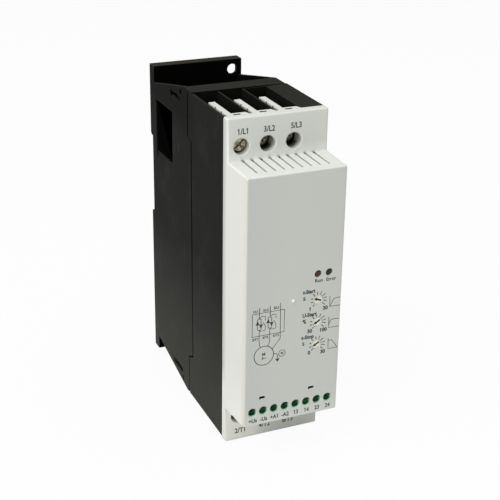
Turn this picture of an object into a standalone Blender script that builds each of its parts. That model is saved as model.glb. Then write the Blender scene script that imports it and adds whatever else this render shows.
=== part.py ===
"""Soft starter for a small three-phase motor: a slim housing that hangs on a rail or a panel.

The unit stands upright with its control panel facing -Y. Every size is in metres.
A place inside it is given as (u, d, z): u from the left side, d from the front panel
towards the wall, z from the underside. at() turns that into the part's own frame, whose
origin is the middle of the underside of the unit's outer box.
"""
import math

import bmesh
import bpy
from mathutils import Matrix, Vector

# Outer box
WIDTH = 0.0440
DEPTH = 0.1159
HEIGHT = 0.1500
FIT_GAP = 0.0003
MIDDLE_Z = HEIGHT / 2
PHASES = 3

# Front cover
FACE_SET_BACK = 0.0193
COVER_BACK = 0.0230
BLOCK_BOTTOM_FRONT = 0.0189
BLOCK_BOTTOM_REAR = 0.0167
BLOCK_TOP_FRONT = HEIGHT - BLOCK_BOTTOM_FRONT
LEDGE_FROM_TOP = 0.0182
BLOCK_TOP_REAR = HEIGHT - LEDGE_FROM_TOP
COVER_WALL = 0.0018
COVER_SIDE_WALL = 0.0013
COVER_EDGE_RADIUS = 0.0010

# Wire chambers, and the screw wells in front of them
CHAMBER_FIRST_U = 0.0009
CHAMBER_WALL = 0.00075
BLANK_STRIP = 0.0089
CHAMBER_PITCH = (WIDTH - CHAMBER_FIRST_U - BLANK_STRIP) / PHASES
CHAMBER_WIDTH = CHAMBER_PITCH - CHAMBER_WALL
WELL_SPREAD = 0.00025
WELL_PITCH = CHAMBER_PITCH + WELL_SPREAD
WELL_FROM_END = 0.0121
WELL_RADIUS = 0.0035
WELL_MOUTH_EASE = 0.0005
WELL_TUBE_WALL = 0.0008
WELL_TUBE_END = 0.0262

# Grooves and drain holes on the ledge
GROOVE_FIRST_U = 0.0059
GROOVE_PITCH = 0.0040
GROOVE_COUNT = 1 + int((WIDTH - 2 * GROOVE_FIRST_U) / GROOVE_PITCH)
GROOVE_FRONT = 0.0046
GROOVE_WIDTH = 0.00055
GROOVE_DEPTH = 0.0006
DRAIN_WIDTH = 0.0013
DRAIN_LENGTH = 0.0013

# Control panel
LAMP_FROM_RIGHT = 0.0113
LAMP_SPACING = 0.0051
LAMP_U = (WIDTH - LAMP_FROM_RIGHT, WIDTH - LAMP_FROM_RIGHT + LAMP_SPACING)
LAMP_RISE = 0.0103
LAMP_Z = MIDDLE_Z + LAMP_RISE
LAMP_HOLE_RADIUS = 0.00155
DIAL_FROM_RIGHT = 0.0107
DIAL_U = WIDTH - DIAL_FROM_RIGHT
DIAL_DROP = 0.0017
DIAL_TOP_Z = MIDDLE_Z - DIAL_DROP
DIAL_PITCH = 0.0105
DIAL_HOLE_RADIUS = 0.00195
DIAL_POINTERS = (-71.0, -120.0, -120.0)
RELEASE_SLOT_FROM_LEFT = 0.0084
RELEASE_SLOT_FROM_RIGHT = 0.0127
RELEASE_SLOT_U = (RELEASE_SLOT_FROM_LEFT, WIDTH - RELEASE_SLOT_FROM_RIGHT)
RELEASE_SLOT_Z = 0.0317
RELEASE_SLOT_WIDTH = 0.0027
RELEASE_SLOT_HEIGHT = 0.0011
CONTROL_FIRST_U = 0.0038
CONTROL_PITCH = 0.00508
CONTROL_COUNT = 1 + int((WIDTH - 2 * CONTROL_FIRST_U) / CONTROL_PITCH)
CONTROL_Z = 0.0254
CONTROL_HOLE_RADIUS = 0.00172
CONTROL_MOUTH_EASE = 0.00035
CONTROL_ENTRY_WIDTH = 0.0034
CONTROL_ENTRY_FRONT = 0.0052
CONTROL_ENTRY_BACK = 0.0100

# Finger guards of the cover, which reach over the wire chambers
GUARD_DROP = 0.0001
GUARD_THICKNESS = 0.0012
GUARD_TAB_BACK = 0.0260
GUARD_TONGUE_BACK = 0.0436
GUARD_TONGUE_WIDTH = 0.0028
GUARD_CORNER = 0.0022
GUARD_SIDE_GAP = 0.00025
GUARD_NOTCHES = (0.0290, 0.0356)
GUARD_NOTCH_LENGTH = 0.0009
GUARD_NOTCH_DEPTH = 0.0005
GUARD_SLOT_WIDTH = 0.0033
GUARD_SLOT_LENGTH = 0.0011
GUARD_SLOT_D = 0.0236
GUARD_SLOT_SHIFT = 0.0001

# Front housing
HOUSING_FRONT = COVER_BACK + FIT_GAP
HOUSING_TOP_DROP = 0.0006
HOUSING_SIDE_WALL = 0.0015
CHAMBER_FRONT_WALL = 0.0015
SEAM_TOP_D = 0.0649
CHAMBER_FROM_SEAM = 0.0063
CHAMBER_BACK = SEAM_TOP_D - CHAMBER_FROM_SEAM
CHAMBER_REAR_WALL = 0.0010
CHAMBER_FLOOR_DEPTH = 0.0260
SHELF_DEPTH = 0.0178
SHELF_BACK = 0.0423
BAY_MARGIN = 0.0300
BLANK_GAP = 0.0015
SEAM_STEP = 0.0040
SEAM_LEAN = 0.0004
SEAM_MIDDLE_TOP_D = SEAM_TOP_D - SEAM_STEP
SEAM_MIDDLE_BOTTOM_D = SEAM_MIDDLE_TOP_D - SEAM_LEAN
SEAM_BOTTOM_D = SEAM_TOP_D + SEAM_LEAN
SEAM_JOG_START = 0.0224
SEAM_JOG_END_LOW = 0.0193
SEAM_JOG_END_HIGH = 0.0205
SEAM_LOWER_JOG = (SEAM_JOG_START, SEAM_JOG_END_LOW)
SEAM_UPPER_JOG = (HEIGHT - SEAM_JOG_END_HIGH, HEIGHT - SEAM_JOG_START)
SEAM_GAP = 0.0008
LIP_OFFSET = 0.0003
LIP_THICKNESS = 0.0009
LIP_REACH = 0.0036

# Snap joints between the two housings
SNAP_Z_FROM_END = (0.0058, 0.0086)
SNAP_TAIL = 0.0031
SNAP_NOSE_DEPTH = 0.0011
SNAP_ARM_THICKNESS = 0.0011
SNAP_ARM_SPARE = 0.0008
SNAP_SLOT_FROM_END = (0.0022, 0.0048)

# Rear housing
REAR_WALL = 0.0018
BAR_FRONT_LAP = 0.0050
BAR_FRONT = SEAM_TOP_D - BAR_FRONT_LAP
BAR_THICKNESS = 0.0015
TAPER_FROM_SEAM = 0.0044
TAPER_START = SEAM_TOP_D + TAPER_FROM_SEAM
TAPER_ANGLE = math.radians(12.07)
PLATE_THICKNESS = 0.0059
PLATE_FRONT = DEPTH - PLATE_THICKNESS
PLATE_BOTTOM = 0.0017
PLATE_TOP_DROP = 0.0009
PLATE_TOP = HEIGHT - PLATE_TOP_DROP
CROSS_WALL_HEIGHT = 0.0105
CHIMNEY_DEPTH = PLATE_FRONT - TAPER_START
TAPER_DROP = CHIMNEY_DEPTH * math.tan(TAPER_ANGLE)
SNAP_WINDOW_SET_BACK = 0.0057
SNAP_WINDOW_LENGTH = 0.0126
SNAP_WINDOW = (TAPER_START + SNAP_WINDOW_SET_BACK, TAPER_START + SNAP_WINDOW_SET_BACK + SNAP_WINDOW_LENGTH)
SNAP_SLOT_SET_BACK = 0.0040
SNAP_SLOT_LENGTH = 0.0021
SNAP_SLOT_D = (TAPER_START + SNAP_SLOT_SET_BACK, TAPER_START + SNAP_SLOT_SET_BACK + SNAP_SLOT_LENGTH)
VENT_PITCH = 0.00275
VENT_SLOT_WIDTH = 0.0014
VENT_FROM_PLATE = 0.00375
VENT_COUNT = 1 + int(CHIMNEY_DEPTH / 2 / VENT_PITCH)
VENT_FIRST_D = PLATE_FRONT - VENT_FROM_PLATE - (VENT_COUNT - 1) * VENT_PITCH
VENT_FROM_TOP = 0.0159
VENT_HEIGHT = 0.0295
VENT_Z = (HEIGHT - VENT_FROM_TOP - VENT_HEIGHT, HEIGHT - VENT_FROM_TOP)
VENT_SILL = 0.0044
VENT_RECESS = 0.0007
VENT_EDGE = 0.0008
PANEL_HOLE_FROM_SIDE = 0.0048
PANEL_HOLE_FROM_TOP = 0.0057
PANEL_HOLE_U = WIDTH - PANEL_HOLE_FROM_SIDE
PANEL_HOLE_Z = HEIGHT - PANEL_HOLE_FROM_TOP
PANEL_HOLE_RADIUS = 0.00245

# Recess for a 35 mm rail, with its hook and sliding latch
RAIL_HEIGHT = 0.0350
RAIL_RECESS_DEPTH = 0.0026
RAIL_RECESS_RISE = 0.0010
RAIL_RECESS_HEIGHT = 0.0385
RAIL_RECESS_Z = (MIDDLE_Z + RAIL_RECESS_RISE, MIDDLE_Z + RAIL_RECESS_RISE + RAIL_RECESS_HEIGHT)
RAIL_RECESS_BEVEL = 0.0012
RAIL_HOOK_RISE = 0.0016
RAIL_LIP_SPACE = 0.0014
LATCH_HALF_WIDTH = 0.0070
LATCH_NECK_HALF_WIDTH = 0.0055
LATCH_FLANGE = 0.0015
LATCH_NECK_FRONT = 0.0018
LATCH_BOTTOM = 0.0060
LATCH_TRAVEL = 0.0040
LATCH_BEAK_RISE = 0.0020
LATCH_SLOT = (0.0066, 0.0014)
SPRING_WINDOW = (0.0300, 0.0480)
SPRING_WINDOW_HALF_WIDTH = 0.0023
SPRING_POST_HEIGHT = 0.0027
SPRING_RADIUS = 0.00145
SPRING_WIRE = 0.00032
SPRING_TURNS = 6

# Power terminals
SCREW_HEAD_RADIUS = 0.0031
SCREW_HEAD_LENGTH = 0.0022
SCREW_SHANK_RADIUS = 0.0019
SCREW_NECK_RADIUS = 0.0010
SCREW_RIVET_RADIUS = 0.0016
SCREW_RIVET_LENGTH = 0.0004
SCREW_OPEN_D = 0.0218
SCREW_PITCH = 0.0007
SCREW_TRAVEL = 0.0050
SCREW_RECESS_WIDTH = 0.0009
SCREW_RECESS_DEPTH = 0.0012
TOP_SCREW_INSERTION = (0.0004, 0.0042, 0.0047)
BOTTOM_SCREW_INSERTION = (0.0042, 0.0046, 0.0042)
FRAME_FRONT = 0.0293
FRAME_BACK = 0.0410
FRAME_WALL = 0.0012
FRAME_HEIGHT = 0.0108
SADDLE_THICKNESS = 0.0012
SADDLE_SIDE_SPACE = 0.000925
SADDLE_HALF_WIDTH = CHAMBER_WIDTH / 2 - FIT_GAP - FRAME_WALL - SADDLE_SIDE_SPACE
SADDLE_HALF_HEIGHT = 0.0040

# Current path
BAR_STOCK = 0.0015
BAR_HALF_WIDTH = SADDLE_HALF_WIDTH - FIT_GAP
BAR_END_FROM_EDGE = 0.0075
BAR_RUN_FROM_EDGE = 0.0420
BAR_TAIL_FROM_MIDDLE = 0.0090
MODULE_SIDE_SPACE = 0.0030
MODULE_SPACING = 0.0020
MODULE_WIDTH = (WIDTH - 2 * MODULE_SIDE_SPACE - MODULE_SPACING) / 2
MODULE_SIZE = (MODULE_WIDTH, 0.0099, 0.0360)
MODULE_PITCH = MODULE_WIDTH + MODULE_SPACING
HEAT_SINK_FRONT = TAPER_START + FIT_GAP
HEAT_SINK_BASE = 0.0044
HEAT_SINK_MARGIN = 0.0109
FIN_COUNT = 9
FIN_THICKNESS = 0.0012
FIN_TOP_DROP = 0.0080
BAR_BACK_D = FRAME_BACK - FRAME_WALL - FIT_GAP
MODULE_FRONT_D = HEAT_SINK_FRONT - FIT_GAP - MODULE_SIZE[1]
POWER_BOARD_D = (BAR_BACK_D + MODULE_FRONT_D) / 2
BOARD_THICKNESS = 0.0016
POWER_BOARD_MARGIN = 0.0460
RELAY_SIDE_SPACE = 0.0004
RELAY_BAR_SPACE = 0.0011
RELAY_DEPTH = 0.0150
RELAY_HEIGHT = 0.0290
RELAY_DROP = 0.0170
RELAY_BOTTOM_Z = MIDDLE_Z - RELAY_DROP

# Control electronics
CONTROL_BOARD_D = 0.0120
CONTROL_BOARD_BOTTOM = 0.0215
CONTROL_BOARD_FROM_TOP = 0.0225
CONTROL_BOARD_Z = (CONTROL_BOARD_BOTTOM, HEIGHT - CONTROL_BOARD_FROM_TOP)
BLOCK_FRONT_D = 0.0021
BLOCK_HEIGHT = 0.0100
BLOCK_BOTTOM_Z = 0.0208
CELL_HALF_WIDTH = 0.00215
BLOCK_END_SPACE = 0.0026
CELL_FRONT_D = 0.0049
CELL_TOP_Z = 0.0300
CONTROL_BORE_RADIUS = 0.00155
CONTROL_HEAD_RADIUS = 0.00122
CONTROL_HEAD_FRONT = 0.0032
CONTROL_HEAD_LENGTH = 0.0012
CONTROL_SHANK_RADIUS = 0.0008
CONTROL_SHANK_END = 0.0096
CONTROL_SCREW_SLOT = 0.0005
CLAMP_FRONT = 0.0056
CLAMP_BACK = 0.0102
CLAMP_SIDE_SPACE = 0.00035
CLAMP_HALF_WIDTH = CELL_HALF_WIDTH - CLAMP_SIDE_SPACE
CLAMP_WALL = 0.0008
CLAMP_HALF_HEIGHT = 0.0025
DIAL_RADIUS = 0.00175
DIAL_FRONT = 0.0003
DIAL_DISC_BACK = 0.0022
DIAL_STUB_RADIUS = 0.0011
DIAL_STUB_BACK = 0.0062
DIAL_SLOT_WIDTH = 0.0006
DIAL_SLOT_LENGTH = 0.0026
DIAL_SLOT_DEPTH = 0.0007
TRIMMER_FRONT = 0.0050
TRIMMER_SIZE = 0.0066
TRIMMER_SOCKET_DEPTH = 0.0015
LAMP_RADIUS = 0.0013
LAMP_FRONT = 0.0004
LAMP_BACK = 0.0099
SUPPLY_SIZE = (0.0150, 0.0160, 0.0270)
SUPPLY_FROM_RIGHT = 0.0200
SUPPLY_TOP_SPACE = 0.0050
SUPPLY_U = WIDTH - SUPPLY_FROM_RIGHT
SUPPLY_Z = HEIGHT - BAY_MARGIN - SUPPLY_TOP_SPACE - SUPPLY_SIZE[2]
LINK_FROM_RIGHT = 0.0075
LINK_U = WIDTH - LINK_FROM_RIGHT
LINK_SIZE = (0.0030, 0.0160)
LINK_DROP = 0.0230
LINK_Z = MIDDLE_Z - LINK_DROP

HOUSING_TOP = HEIGHT - HOUSING_TOP_DROP


def at(u, d, z):
    """A point of the part's frame from its place (u, d, z) in the unit."""
    return Vector((u - WIDTH / 2, d - DEPTH / 2, z))


def mirrored(z):
    """The height that mirrors z about the middle of the unit."""
    return HEIGHT - z


def add_block(bm, low, high):
    """A box between two corners in (u, d, z)."""
    corner_a = at(*low)
    corner_b = at(*high)
    size = corner_b - corner_a
    place = Matrix.Translation((corner_a + corner_b) / 2) @ Matrix.Diagonal((*map(abs, size), 1.0))
    bmesh.ops.create_cube(bm, size=1.0, matrix=place)


def add_prism(bm, outline, along, start, end):
    """A straight prism. Its outline is in the two of u, d, z that along leaves over."""
    axis = "udz".index(along)

    def corner(pair, position):
        place = list(pair)
        place.insert(axis, position)
        return at(*place)

    first = [bm.verts.new(corner(pair, start)) for pair in outline]
    last = [bm.verts.new(corner(pair, end)) for pair in outline]
    faces = [bm.faces.new(first), bm.faces.new(list(reversed(last)))]
    for index, vert in enumerate(first):
        following = (index + 1) % len(first)
        faces.append(bm.faces.new((vert, last[index], last[following], first[following])))
    bmesh.ops.recalc_face_normals(bm, faces=faces)
    return faces


def add_turned(bm, centre, along, profile, segments):
    """A turned solid. The profile is (distance along the axis, radius), from end to end."""
    axis = {"u": Vector((1, 0, 0)), "d": Vector((0, 1, 0)), "z": Vector((0, 0, 1))}[along]
    turn = Vector((0, 0, 1)).rotation_difference(axis).to_matrix()
    rings = []
    for distance, radius in profile:
        ring = []
        for step in range(segments):
            angle = 2 * math.pi * (step + 0.5) / segments
            spoke = Vector((radius * math.cos(angle), radius * math.sin(angle), distance))
            ring.append(bm.verts.new(at(*centre) + turn @ spoke))
        rings.append(ring)
    faces = [bm.faces.new(rings[0]), bm.faces.new(list(reversed(rings[-1])))]
    for near, far in zip(rings, rings[1:]):
        for step in range(segments):
            following = (step + 1) % segments
            faces.append(bm.faces.new((near[step], far[step], far[following], near[following])))
    bmesh.ops.recalc_face_normals(bm, faces=faces)
    for face in faces[2:]:
        face.smooth = True


def round_edges(bm, wanted, radius, segments=2):
    """Round the edges that wanted picks."""
    edges = [edge for edge in bm.edges if wanted(edge)]
    bmesh.ops.bevel(bm, geom=edges, offset=radius, segments=segments, profile=0.5,
                    affect="EDGES", clamp_overlap=True)


def is_outward(edge):
    """True for an edge that sticks out, false for an inner corner or a flat join."""
    return edge.is_manifold and edge.is_convex and edge.calc_face_angle(0.0) > math.radians(30)


def paint(name, color, roughness, metallic=0.0):
    """A material, made once for each name."""
    found = bpy.data.materials.get(name)
    if found:
        return found
    made = bpy.data.materials.new(name)
    made.use_nodes = True
    shader = made.node_tree.nodes["Principled BSDF"]
    shader.inputs["Base Color"].default_value = (*color, 1.0)
    shader.inputs["Roughness"].default_value = roughness
    shader.inputs["Metallic"].default_value = metallic
    made.diffuse_color = (*color, 1.0)
    return made


def place(name, bm, material, origin=(0.0, 0.0, 0.0)):
    """Turn a finished bmesh into an object whose origin is at a point of the part's frame."""
    origin = Vector(origin)
    bmesh.ops.translate(bm, verts=bm.verts, vec=-origin)
    mesh = bpy.data.meshes.new(name)
    bm.to_mesh(mesh)
    bm.free()
    piece = bpy.data.objects.new(name, mesh)
    piece.location = origin
    bpy.context.scene.collection.objects.link(piece)
    mesh.materials.append(material)
    mesh.set_sharp_from_angle(angle=math.radians(35))
    return piece


def combine(piece, bm, operation, label):
    """Cut a shape from a piece, or join it on, with a Boolean and a hidden tool."""
    mesh = bpy.data.meshes.new(piece.name + label)
    bm.to_mesh(mesh)
    bm.free()
    tool = bpy.data.objects.new(piece.name + label, mesh)
    bpy.context.scene.collection.objects.link(tool)
    tool.hide_render = True
    tool.display_type = "WIRE"
    step = piece.modifiers.new(label.strip("_"), "BOOLEAN")
    step.operation = operation
    step.solver = "EXACT"
    step.object = tool


def cut(piece, bm, label):
    combine(piece, bm, "DIFFERENCE", "_cut_" + label)


def join(piece, bm, label):
    combine(piece, bm, "UNION", "_add_" + label)


def chamber_u(index):
    """Left and right wall of a wire chamber."""
    left = CHAMBER_FIRST_U + index * CHAMBER_PITCH
    return left, left + CHAMBER_WIDTH


def well_u(index):
    """The wells are centred on the middle chamber and stand slightly wider apart than the chambers."""
    middle = PHASES // 2
    return sum(chamber_u(middle)) / 2 + (index - middle) * WELL_PITCH


def control_u(index):
    return CONTROL_FIRST_U + index * CONTROL_PITCH


def dial_z(index):
    return DIAL_TOP_Z - index * DIAL_PITCH


def both_ends(z):
    """A height near the top edge and the one that mirrors it near the bottom edge."""
    return z, mirrored(z)


WELL_Z = HEIGHT - WELL_FROM_END


def cover_outline():
    return [
        (COVER_BACK, 0.0),
        (FACE_SET_BACK, 0.0),
        (FACE_SET_BACK, BLOCK_BOTTOM_REAR),
        (0.0, BLOCK_BOTTOM_FRONT),
        (0.0, BLOCK_TOP_FRONT),
        (FACE_SET_BACK, BLOCK_TOP_REAR),
        (FACE_SET_BACK, HEIGHT),
        (COVER_BACK, HEIGHT),
    ]


def cover_hollow():
    inner_face = FACE_SET_BACK + COVER_WALL
    beyond = COVER_BACK + COVER_WALL
    return [
        (beyond, COVER_WALL),
        (inner_face, COVER_WALL),
        (inner_face, BLOCK_BOTTOM_REAR + COVER_WALL),
        (COVER_WALL, BLOCK_BOTTOM_FRONT + COVER_WALL),
        (COVER_WALL, BLOCK_TOP_FRONT - COVER_WALL),
        (inner_face, BLOCK_TOP_REAR - COVER_WALL),
        (inner_face, HEIGHT - COVER_WALL),
        (beyond, HEIGHT - COVER_WALL),
    ]


def guard_outline(index):
    """Plan of one finger guard: a tab behind the rim and a notched tongue along the chamber."""
    left, right = chamber_u(index)
    left += GUARD_SIDE_GAP
    right -= GUARD_SIDE_GAP
    root = (FACE_SET_BACK + COVER_BACK) / 2
    outline = [(left, root)]
    for notch in GUARD_NOTCHES:
        outline.append((left, notch))
        outline.append((left + GUARD_NOTCH_DEPTH, notch))
        outline.append((left + GUARD_NOTCH_DEPTH, notch + GUARD_NOTCH_LENGTH))
        outline.append((left, notch + GUARD_NOTCH_LENGTH))
    outline += [
        (left, GUARD_TONGUE_BACK),
        (left + GUARD_TONGUE_WIDTH, GUARD_TONGUE_BACK),
        (left + GUARD_TONGUE_WIDTH, GUARD_TAB_BACK),
        (right - GUARD_CORNER, GUARD_TAB_BACK),
        (right, COVER_BACK),
        (right, root),
    ]
    return outline


def make_front_cover():
    """Moulded cover: a stepped shell with screw wells, grooves, windows and finger guards."""
    bm = bmesh.new()
    add_prism(bm, cover_outline(), "u", 0.0, WIDTH)
    back = at(0, COVER_BACK, 0).y

    def is_rounded(edge):
        on_back = all(abs(vert.co.y - back) < 1e-6 for vert in edge.verts)
        return is_outward(edge) and not on_back

    round_edges(bm, is_rounded, COVER_EDGE_RADIUS)
    cover = place("front_cover", bm, paint("cover_grey", (0.62, 0.64, 0.60), 0.45))

    hollow = bmesh.new()
    add_prism(hollow, cover_hollow(), "u", COVER_SIDE_WALL, WIDTH - COVER_SIDE_WALL)
    cut(cover, hollow, "hollow")

    tubes = bmesh.new()
    bores = bmesh.new()
    tube_start = FACE_SET_BACK + COVER_WALL / 2
    for z in both_ends(WELL_Z):
        for index in range(PHASES):
            outside = WELL_RADIUS + WELL_TUBE_WALL
            tube = [(tube_start, outside), (WELL_TUBE_END, outside)]
            add_turned(tubes, (well_u(index), 0.0, z), "d", tube, 20)
            mouth = WELL_RADIUS + WELL_MOUTH_EASE
            bore = [
                (FACE_SET_BACK - COVER_WALL, mouth),
                (FACE_SET_BACK, mouth),
                (FACE_SET_BACK + WELL_MOUTH_EASE * 0.35, WELL_RADIUS + WELL_MOUTH_EASE * 0.35),
                (FACE_SET_BACK + WELL_MOUTH_EASE, WELL_RADIUS),
                (WELL_TUBE_END + COVER_WALL, WELL_RADIUS),
            ]
            add_turned(bores, (well_u(index), 0.0, z), "d", bore, 20)
    join(cover, tubes, "well_tubes")

    guards = bmesh.new()
    guard_top = HEIGHT - GUARD_DROP
    for index in range(PHASES):
        for z in both_ends(guard_top):
            inward = z + math.copysign(GUARD_THICKNESS, MIDDLE_Z - z)
            add_prism(guards, guard_outline(index), "z", min(z, inward), max(z, inward))
    join(cover, guards, "guards")
    cut(cover, bores, "well_bores")
    cut(cover, cover_windows(), "windows")
    cut(cover, ledge_grooves(), "grooves")
    cut(cover, ledge_drains(), "drains")
    return cover


def cover_windows():
    """Openings of the panel and the rims: lamps, dials, control screws, slots and wire entries."""
    bm = bmesh.new()
    through = COVER_WALL * 2
    for u in LAMP_U:
        hole = [(-COVER_WALL, LAMP_HOLE_RADIUS), (through, LAMP_HOLE_RADIUS)]
        add_turned(bm, (u, 0.0, LAMP_Z), "d", hole, 14)
    for index in range(len(DIAL_POINTERS)):
        hole = [(-COVER_WALL, DIAL_HOLE_RADIUS), (through, DIAL_HOLE_RADIUS)]
        add_turned(bm, (DIAL_U, 0.0, dial_z(index)), "d", hole, 18)
    mouth = CONTROL_HOLE_RADIUS + CONTROL_MOUTH_EASE
    hole = [
        (-COVER_WALL, mouth),
        (0.0, mouth),
        (CONTROL_MOUTH_EASE, CONTROL_HOLE_RADIUS),
        (through, CONTROL_HOLE_RADIUS),
    ]
    for index in range(CONTROL_COUNT):
        u = control_u(index)
        add_turned(bm, (u, 0.0, CONTROL_Z), "d", hole, 14)
        half = CONTROL_ENTRY_WIDTH / 2
        low = (u - half, CONTROL_ENTRY_FRONT, BLOCK_BOTTOM_REAR - COVER_WALL)
        high = (u + half, CONTROL_ENTRY_BACK, BLOCK_BOTTOM_FRONT + through)
        add_block(bm, low, high)
    for u in RELEASE_SLOT_U:
        half = RELEASE_SLOT_WIDTH / 2
        rise = RELEASE_SLOT_HEIGHT / 2
        low = (u - half, -COVER_WALL, RELEASE_SLOT_Z - rise)
        high = (u + half, through, RELEASE_SLOT_Z + rise)
        add_block(bm, low, high)
    for index in range(PHASES):
        u = chamber_u(index)[0] + CHAMBER_WIDTH / 2 - GUARD_SLOT_SHIFT
        for z in (HEIGHT, 0.0):
            low = (u - GUARD_SLOT_WIDTH / 2, GUARD_SLOT_D - GUARD_SLOT_LENGTH / 2, z - through)
            high = (u + GUARD_SLOT_WIDTH / 2, GUARD_SLOT_D + GUARD_SLOT_LENGTH / 2, z + through)
            add_block(bm, low, high)
    return bm


def ledge_grooves():
    """Fine grooves that run from the front of the ledge to its drain holes."""
    bm = bmesh.new()
    for index in range(GROOVE_COUNT):
        u = GROOVE_FIRST_U + index * GROOVE_PITCH
        low = (u - GROOVE_WIDTH / 2, GROOVE_FRONT, BLOCK_TOP_FRONT - GROOVE_DEPTH)
        high = (u + GROOVE_WIDTH / 2, FACE_SET_BACK - DRAIN_LENGTH / 2, BLOCK_TOP_REAR + COVER_WALL)
        add_block(bm, low, high)
    return bm


def ledge_drains():
    """Square holes where the ledge meets the upper face."""
    bm = bmesh.new()
    for index in range(GROOVE_COUNT):
        u = GROOVE_FIRST_U + index * GROOVE_PITCH
        low = (u - DRAIN_WIDTH / 2, FACE_SET_BACK - DRAIN_LENGTH, BLOCK_TOP_REAR - COVER_WALL * 2)
        high = (u + DRAIN_WIDTH / 2, FACE_SET_BACK + FIT_GAP / 2, BLOCK_TOP_REAR + FIT_GAP)
        add_block(bm, low, high)
    return bm


def seam_profile(gap):
    """Rear edge of the front housing, bottom to top, moved back by gap."""
    upper_rear, upper_front = SEAM_UPPER_JOG
    lower_front, lower_rear = SEAM_LOWER_JOG
    return [
        (SEAM_BOTTOM_D + gap, 0.0),
        (SEAM_BOTTOM_D + gap, lower_rear + gap / 2),
        (SEAM_MIDDLE_BOTTOM_D + gap, lower_front + gap / 2),
        (SEAM_MIDDLE_TOP_D + gap, upper_front - gap / 2),
        (SEAM_TOP_D + gap, upper_rear - gap / 2),
    ]


def make_front_housing():
    """Black frame behind the cover, with the wire chambers at both ends."""
    step_d = CHAMBER_BACK + CHAMBER_REAR_WALL
    under_bar = HEIGHT - BAR_THICKNESS - FIT_GAP
    outline = [(HOUSING_FRONT, 0.0)] + seam_profile(0.0)
    outline += [
        (SEAM_TOP_D, under_bar),
        (step_d, under_bar),
        (step_d, HOUSING_TOP),
        (HOUSING_FRONT, HOUSING_TOP),
    ]
    bm = bmesh.new()
    add_prism(bm, outline, "u", 0.0, WIDTH)
    housing = place("front_housing", bm, paint("housing_black", (0.030, 0.032, 0.029), 0.5))

    chamber_start = HOUSING_FRONT + CHAMBER_FRONT_WALL
    chambers = bmesh.new()
    deep = bmesh.new()
    for index in range(PHASES):
        left, right = chamber_u(index)
        for near in (True, False):
            shelf = SHELF_DEPTH
            floor = CHAMBER_FLOOR_DEPTH
            edge = HEIGHT + FIT_GAP
            heights = [HEIGHT - shelf, HEIGHT - floor, edge]
            if not near:
                heights = [mirrored(z) for z in heights]
            shelf_z, floor_z, edge_z = heights
            add_block(chambers, (left, chamber_start, min(shelf_z, edge_z)),
                      (right, CHAMBER_BACK, max(shelf_z, edge_z)))
            add_block(deep, (left, SHELF_BACK, min(shelf_z, floor_z) - FIT_GAP),
                      (right, CHAMBER_BACK, max(shelf_z, floor_z) + FIT_GAP))
    cut(housing, chambers, "chambers")
    cut(housing, deep, "deep_chambers")
    cut(housing, guard_rests(), "guard_rests")

    bay = bmesh.new()
    add_block(bay, (HOUSING_SIDE_WALL, HOUSING_FRONT - FIT_GAP, BAY_MARGIN),
              (WIDTH - HOUSING_SIDE_WALL, SEAM_TOP_D + FIT_GAP, mirrored(BAY_MARGIN)))
    cut(housing, bay, "bay")

    blank_left = chamber_u(PHASES - 1)[1] + BLANK_GAP
    blanks = bmesh.new()
    for low_z, high_z in ((HOUSING_SIDE_WALL, BAY_MARGIN + FIT_GAP),
                          (mirrored(BAY_MARGIN + FIT_GAP), HOUSING_TOP - HOUSING_SIDE_WALL)):
        add_block(blanks, (blank_left, chamber_start, low_z),
                  (WIDTH - HOUSING_SIDE_WALL, CHAMBER_BACK, high_z))
    cut(housing, blanks, "blank_spaces")

    passages = bmesh.new()
    for index in range(PHASES):
        u = well_u(index)
        clear = WELL_RADIUS + WELL_TUBE_WALL + FIT_GAP
        for z in both_ends(WELL_Z):
            hole = [(HOUSING_FRONT - FIT_GAP, clear), (chamber_start + FIT_GAP, clear)]
            add_turned(passages, (u, 0.0, z), "d", hole, 20)
        half = BAR_HALF_WIDTH + FIT_GAP
        bar_front = bar_front_d()
        for low_z, high_z in ((mirrored(BAY_MARGIN + FIT_GAP), HEIGHT - SHELF_DEPTH + FIT_GAP),
                              (SHELF_DEPTH - FIT_GAP, BAY_MARGIN + FIT_GAP)):
            add_block(passages, (u - half, bar_front - FIT_GAP, low_z),
                      (u + half, bar_front + BAR_STOCK + FIT_GAP, high_z))
    cut(housing, passages, "passages")

    join(housing, seam_lips(), "seam_lips")
    join(housing, snap_arms(), "snap_arms")
    return housing


def guard_rests():
    """Lowered front edge of each chamber, which the cover's finger guards lie over."""
    bm = bmesh.new()
    for index in range(PHASES):
        left, right = chamber_u(index)
        rest = GUARD_DROP + GUARD_THICKNESS + FIT_GAP
        back = HOUSING_FRONT + CHAMBER_FRONT_WALL + FIT_GAP
        add_block(bm, (left, HOUSING_FRONT - FIT_GAP, HEIGHT - rest), (right, back, HEIGHT + FIT_GAP))
        add_block(bm, (left, HOUSING_FRONT - FIT_GAP, -FIT_GAP), (right, back, rest))
    return bm


def seam_lips():
    """Inner lips that close the seam: each steps in and reaches behind the rear housing's wall."""
    inner = REAR_WALL + LIP_OFFSET
    reach = SEAM_MIDDLE_TOP_D + LIP_REACH
    root = SEAM_MIDDLE_BOTTOM_D - LIP_REACH
    face = SEAM_MIDDLE_BOTTOM_D - LIP_OFFSET
    bm = bmesh.new()
    for side in (1, -1):
        outline = [
            (HOUSING_SIDE_WALL / 2, root),
            (inner + LIP_THICKNESS, root),
            (inner + LIP_THICKNESS, reach),
            (inner, reach),
            (inner, face),
            (HOUSING_SIDE_WALL / 2, face),
        ]
        if side < 0:
            outline = [(WIDTH - u, d) for u, d in outline]
        add_prism(bm, outline, "z", BAY_MARGIN, mirrored(BAY_MARGIN))
    return bm


def snap_heights():
    """Low and high edge of each snap window, at the top and at the bottom."""
    near, far = SNAP_Z_FROM_END
    return (near, far), (mirrored(far), mirrored(near))


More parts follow.
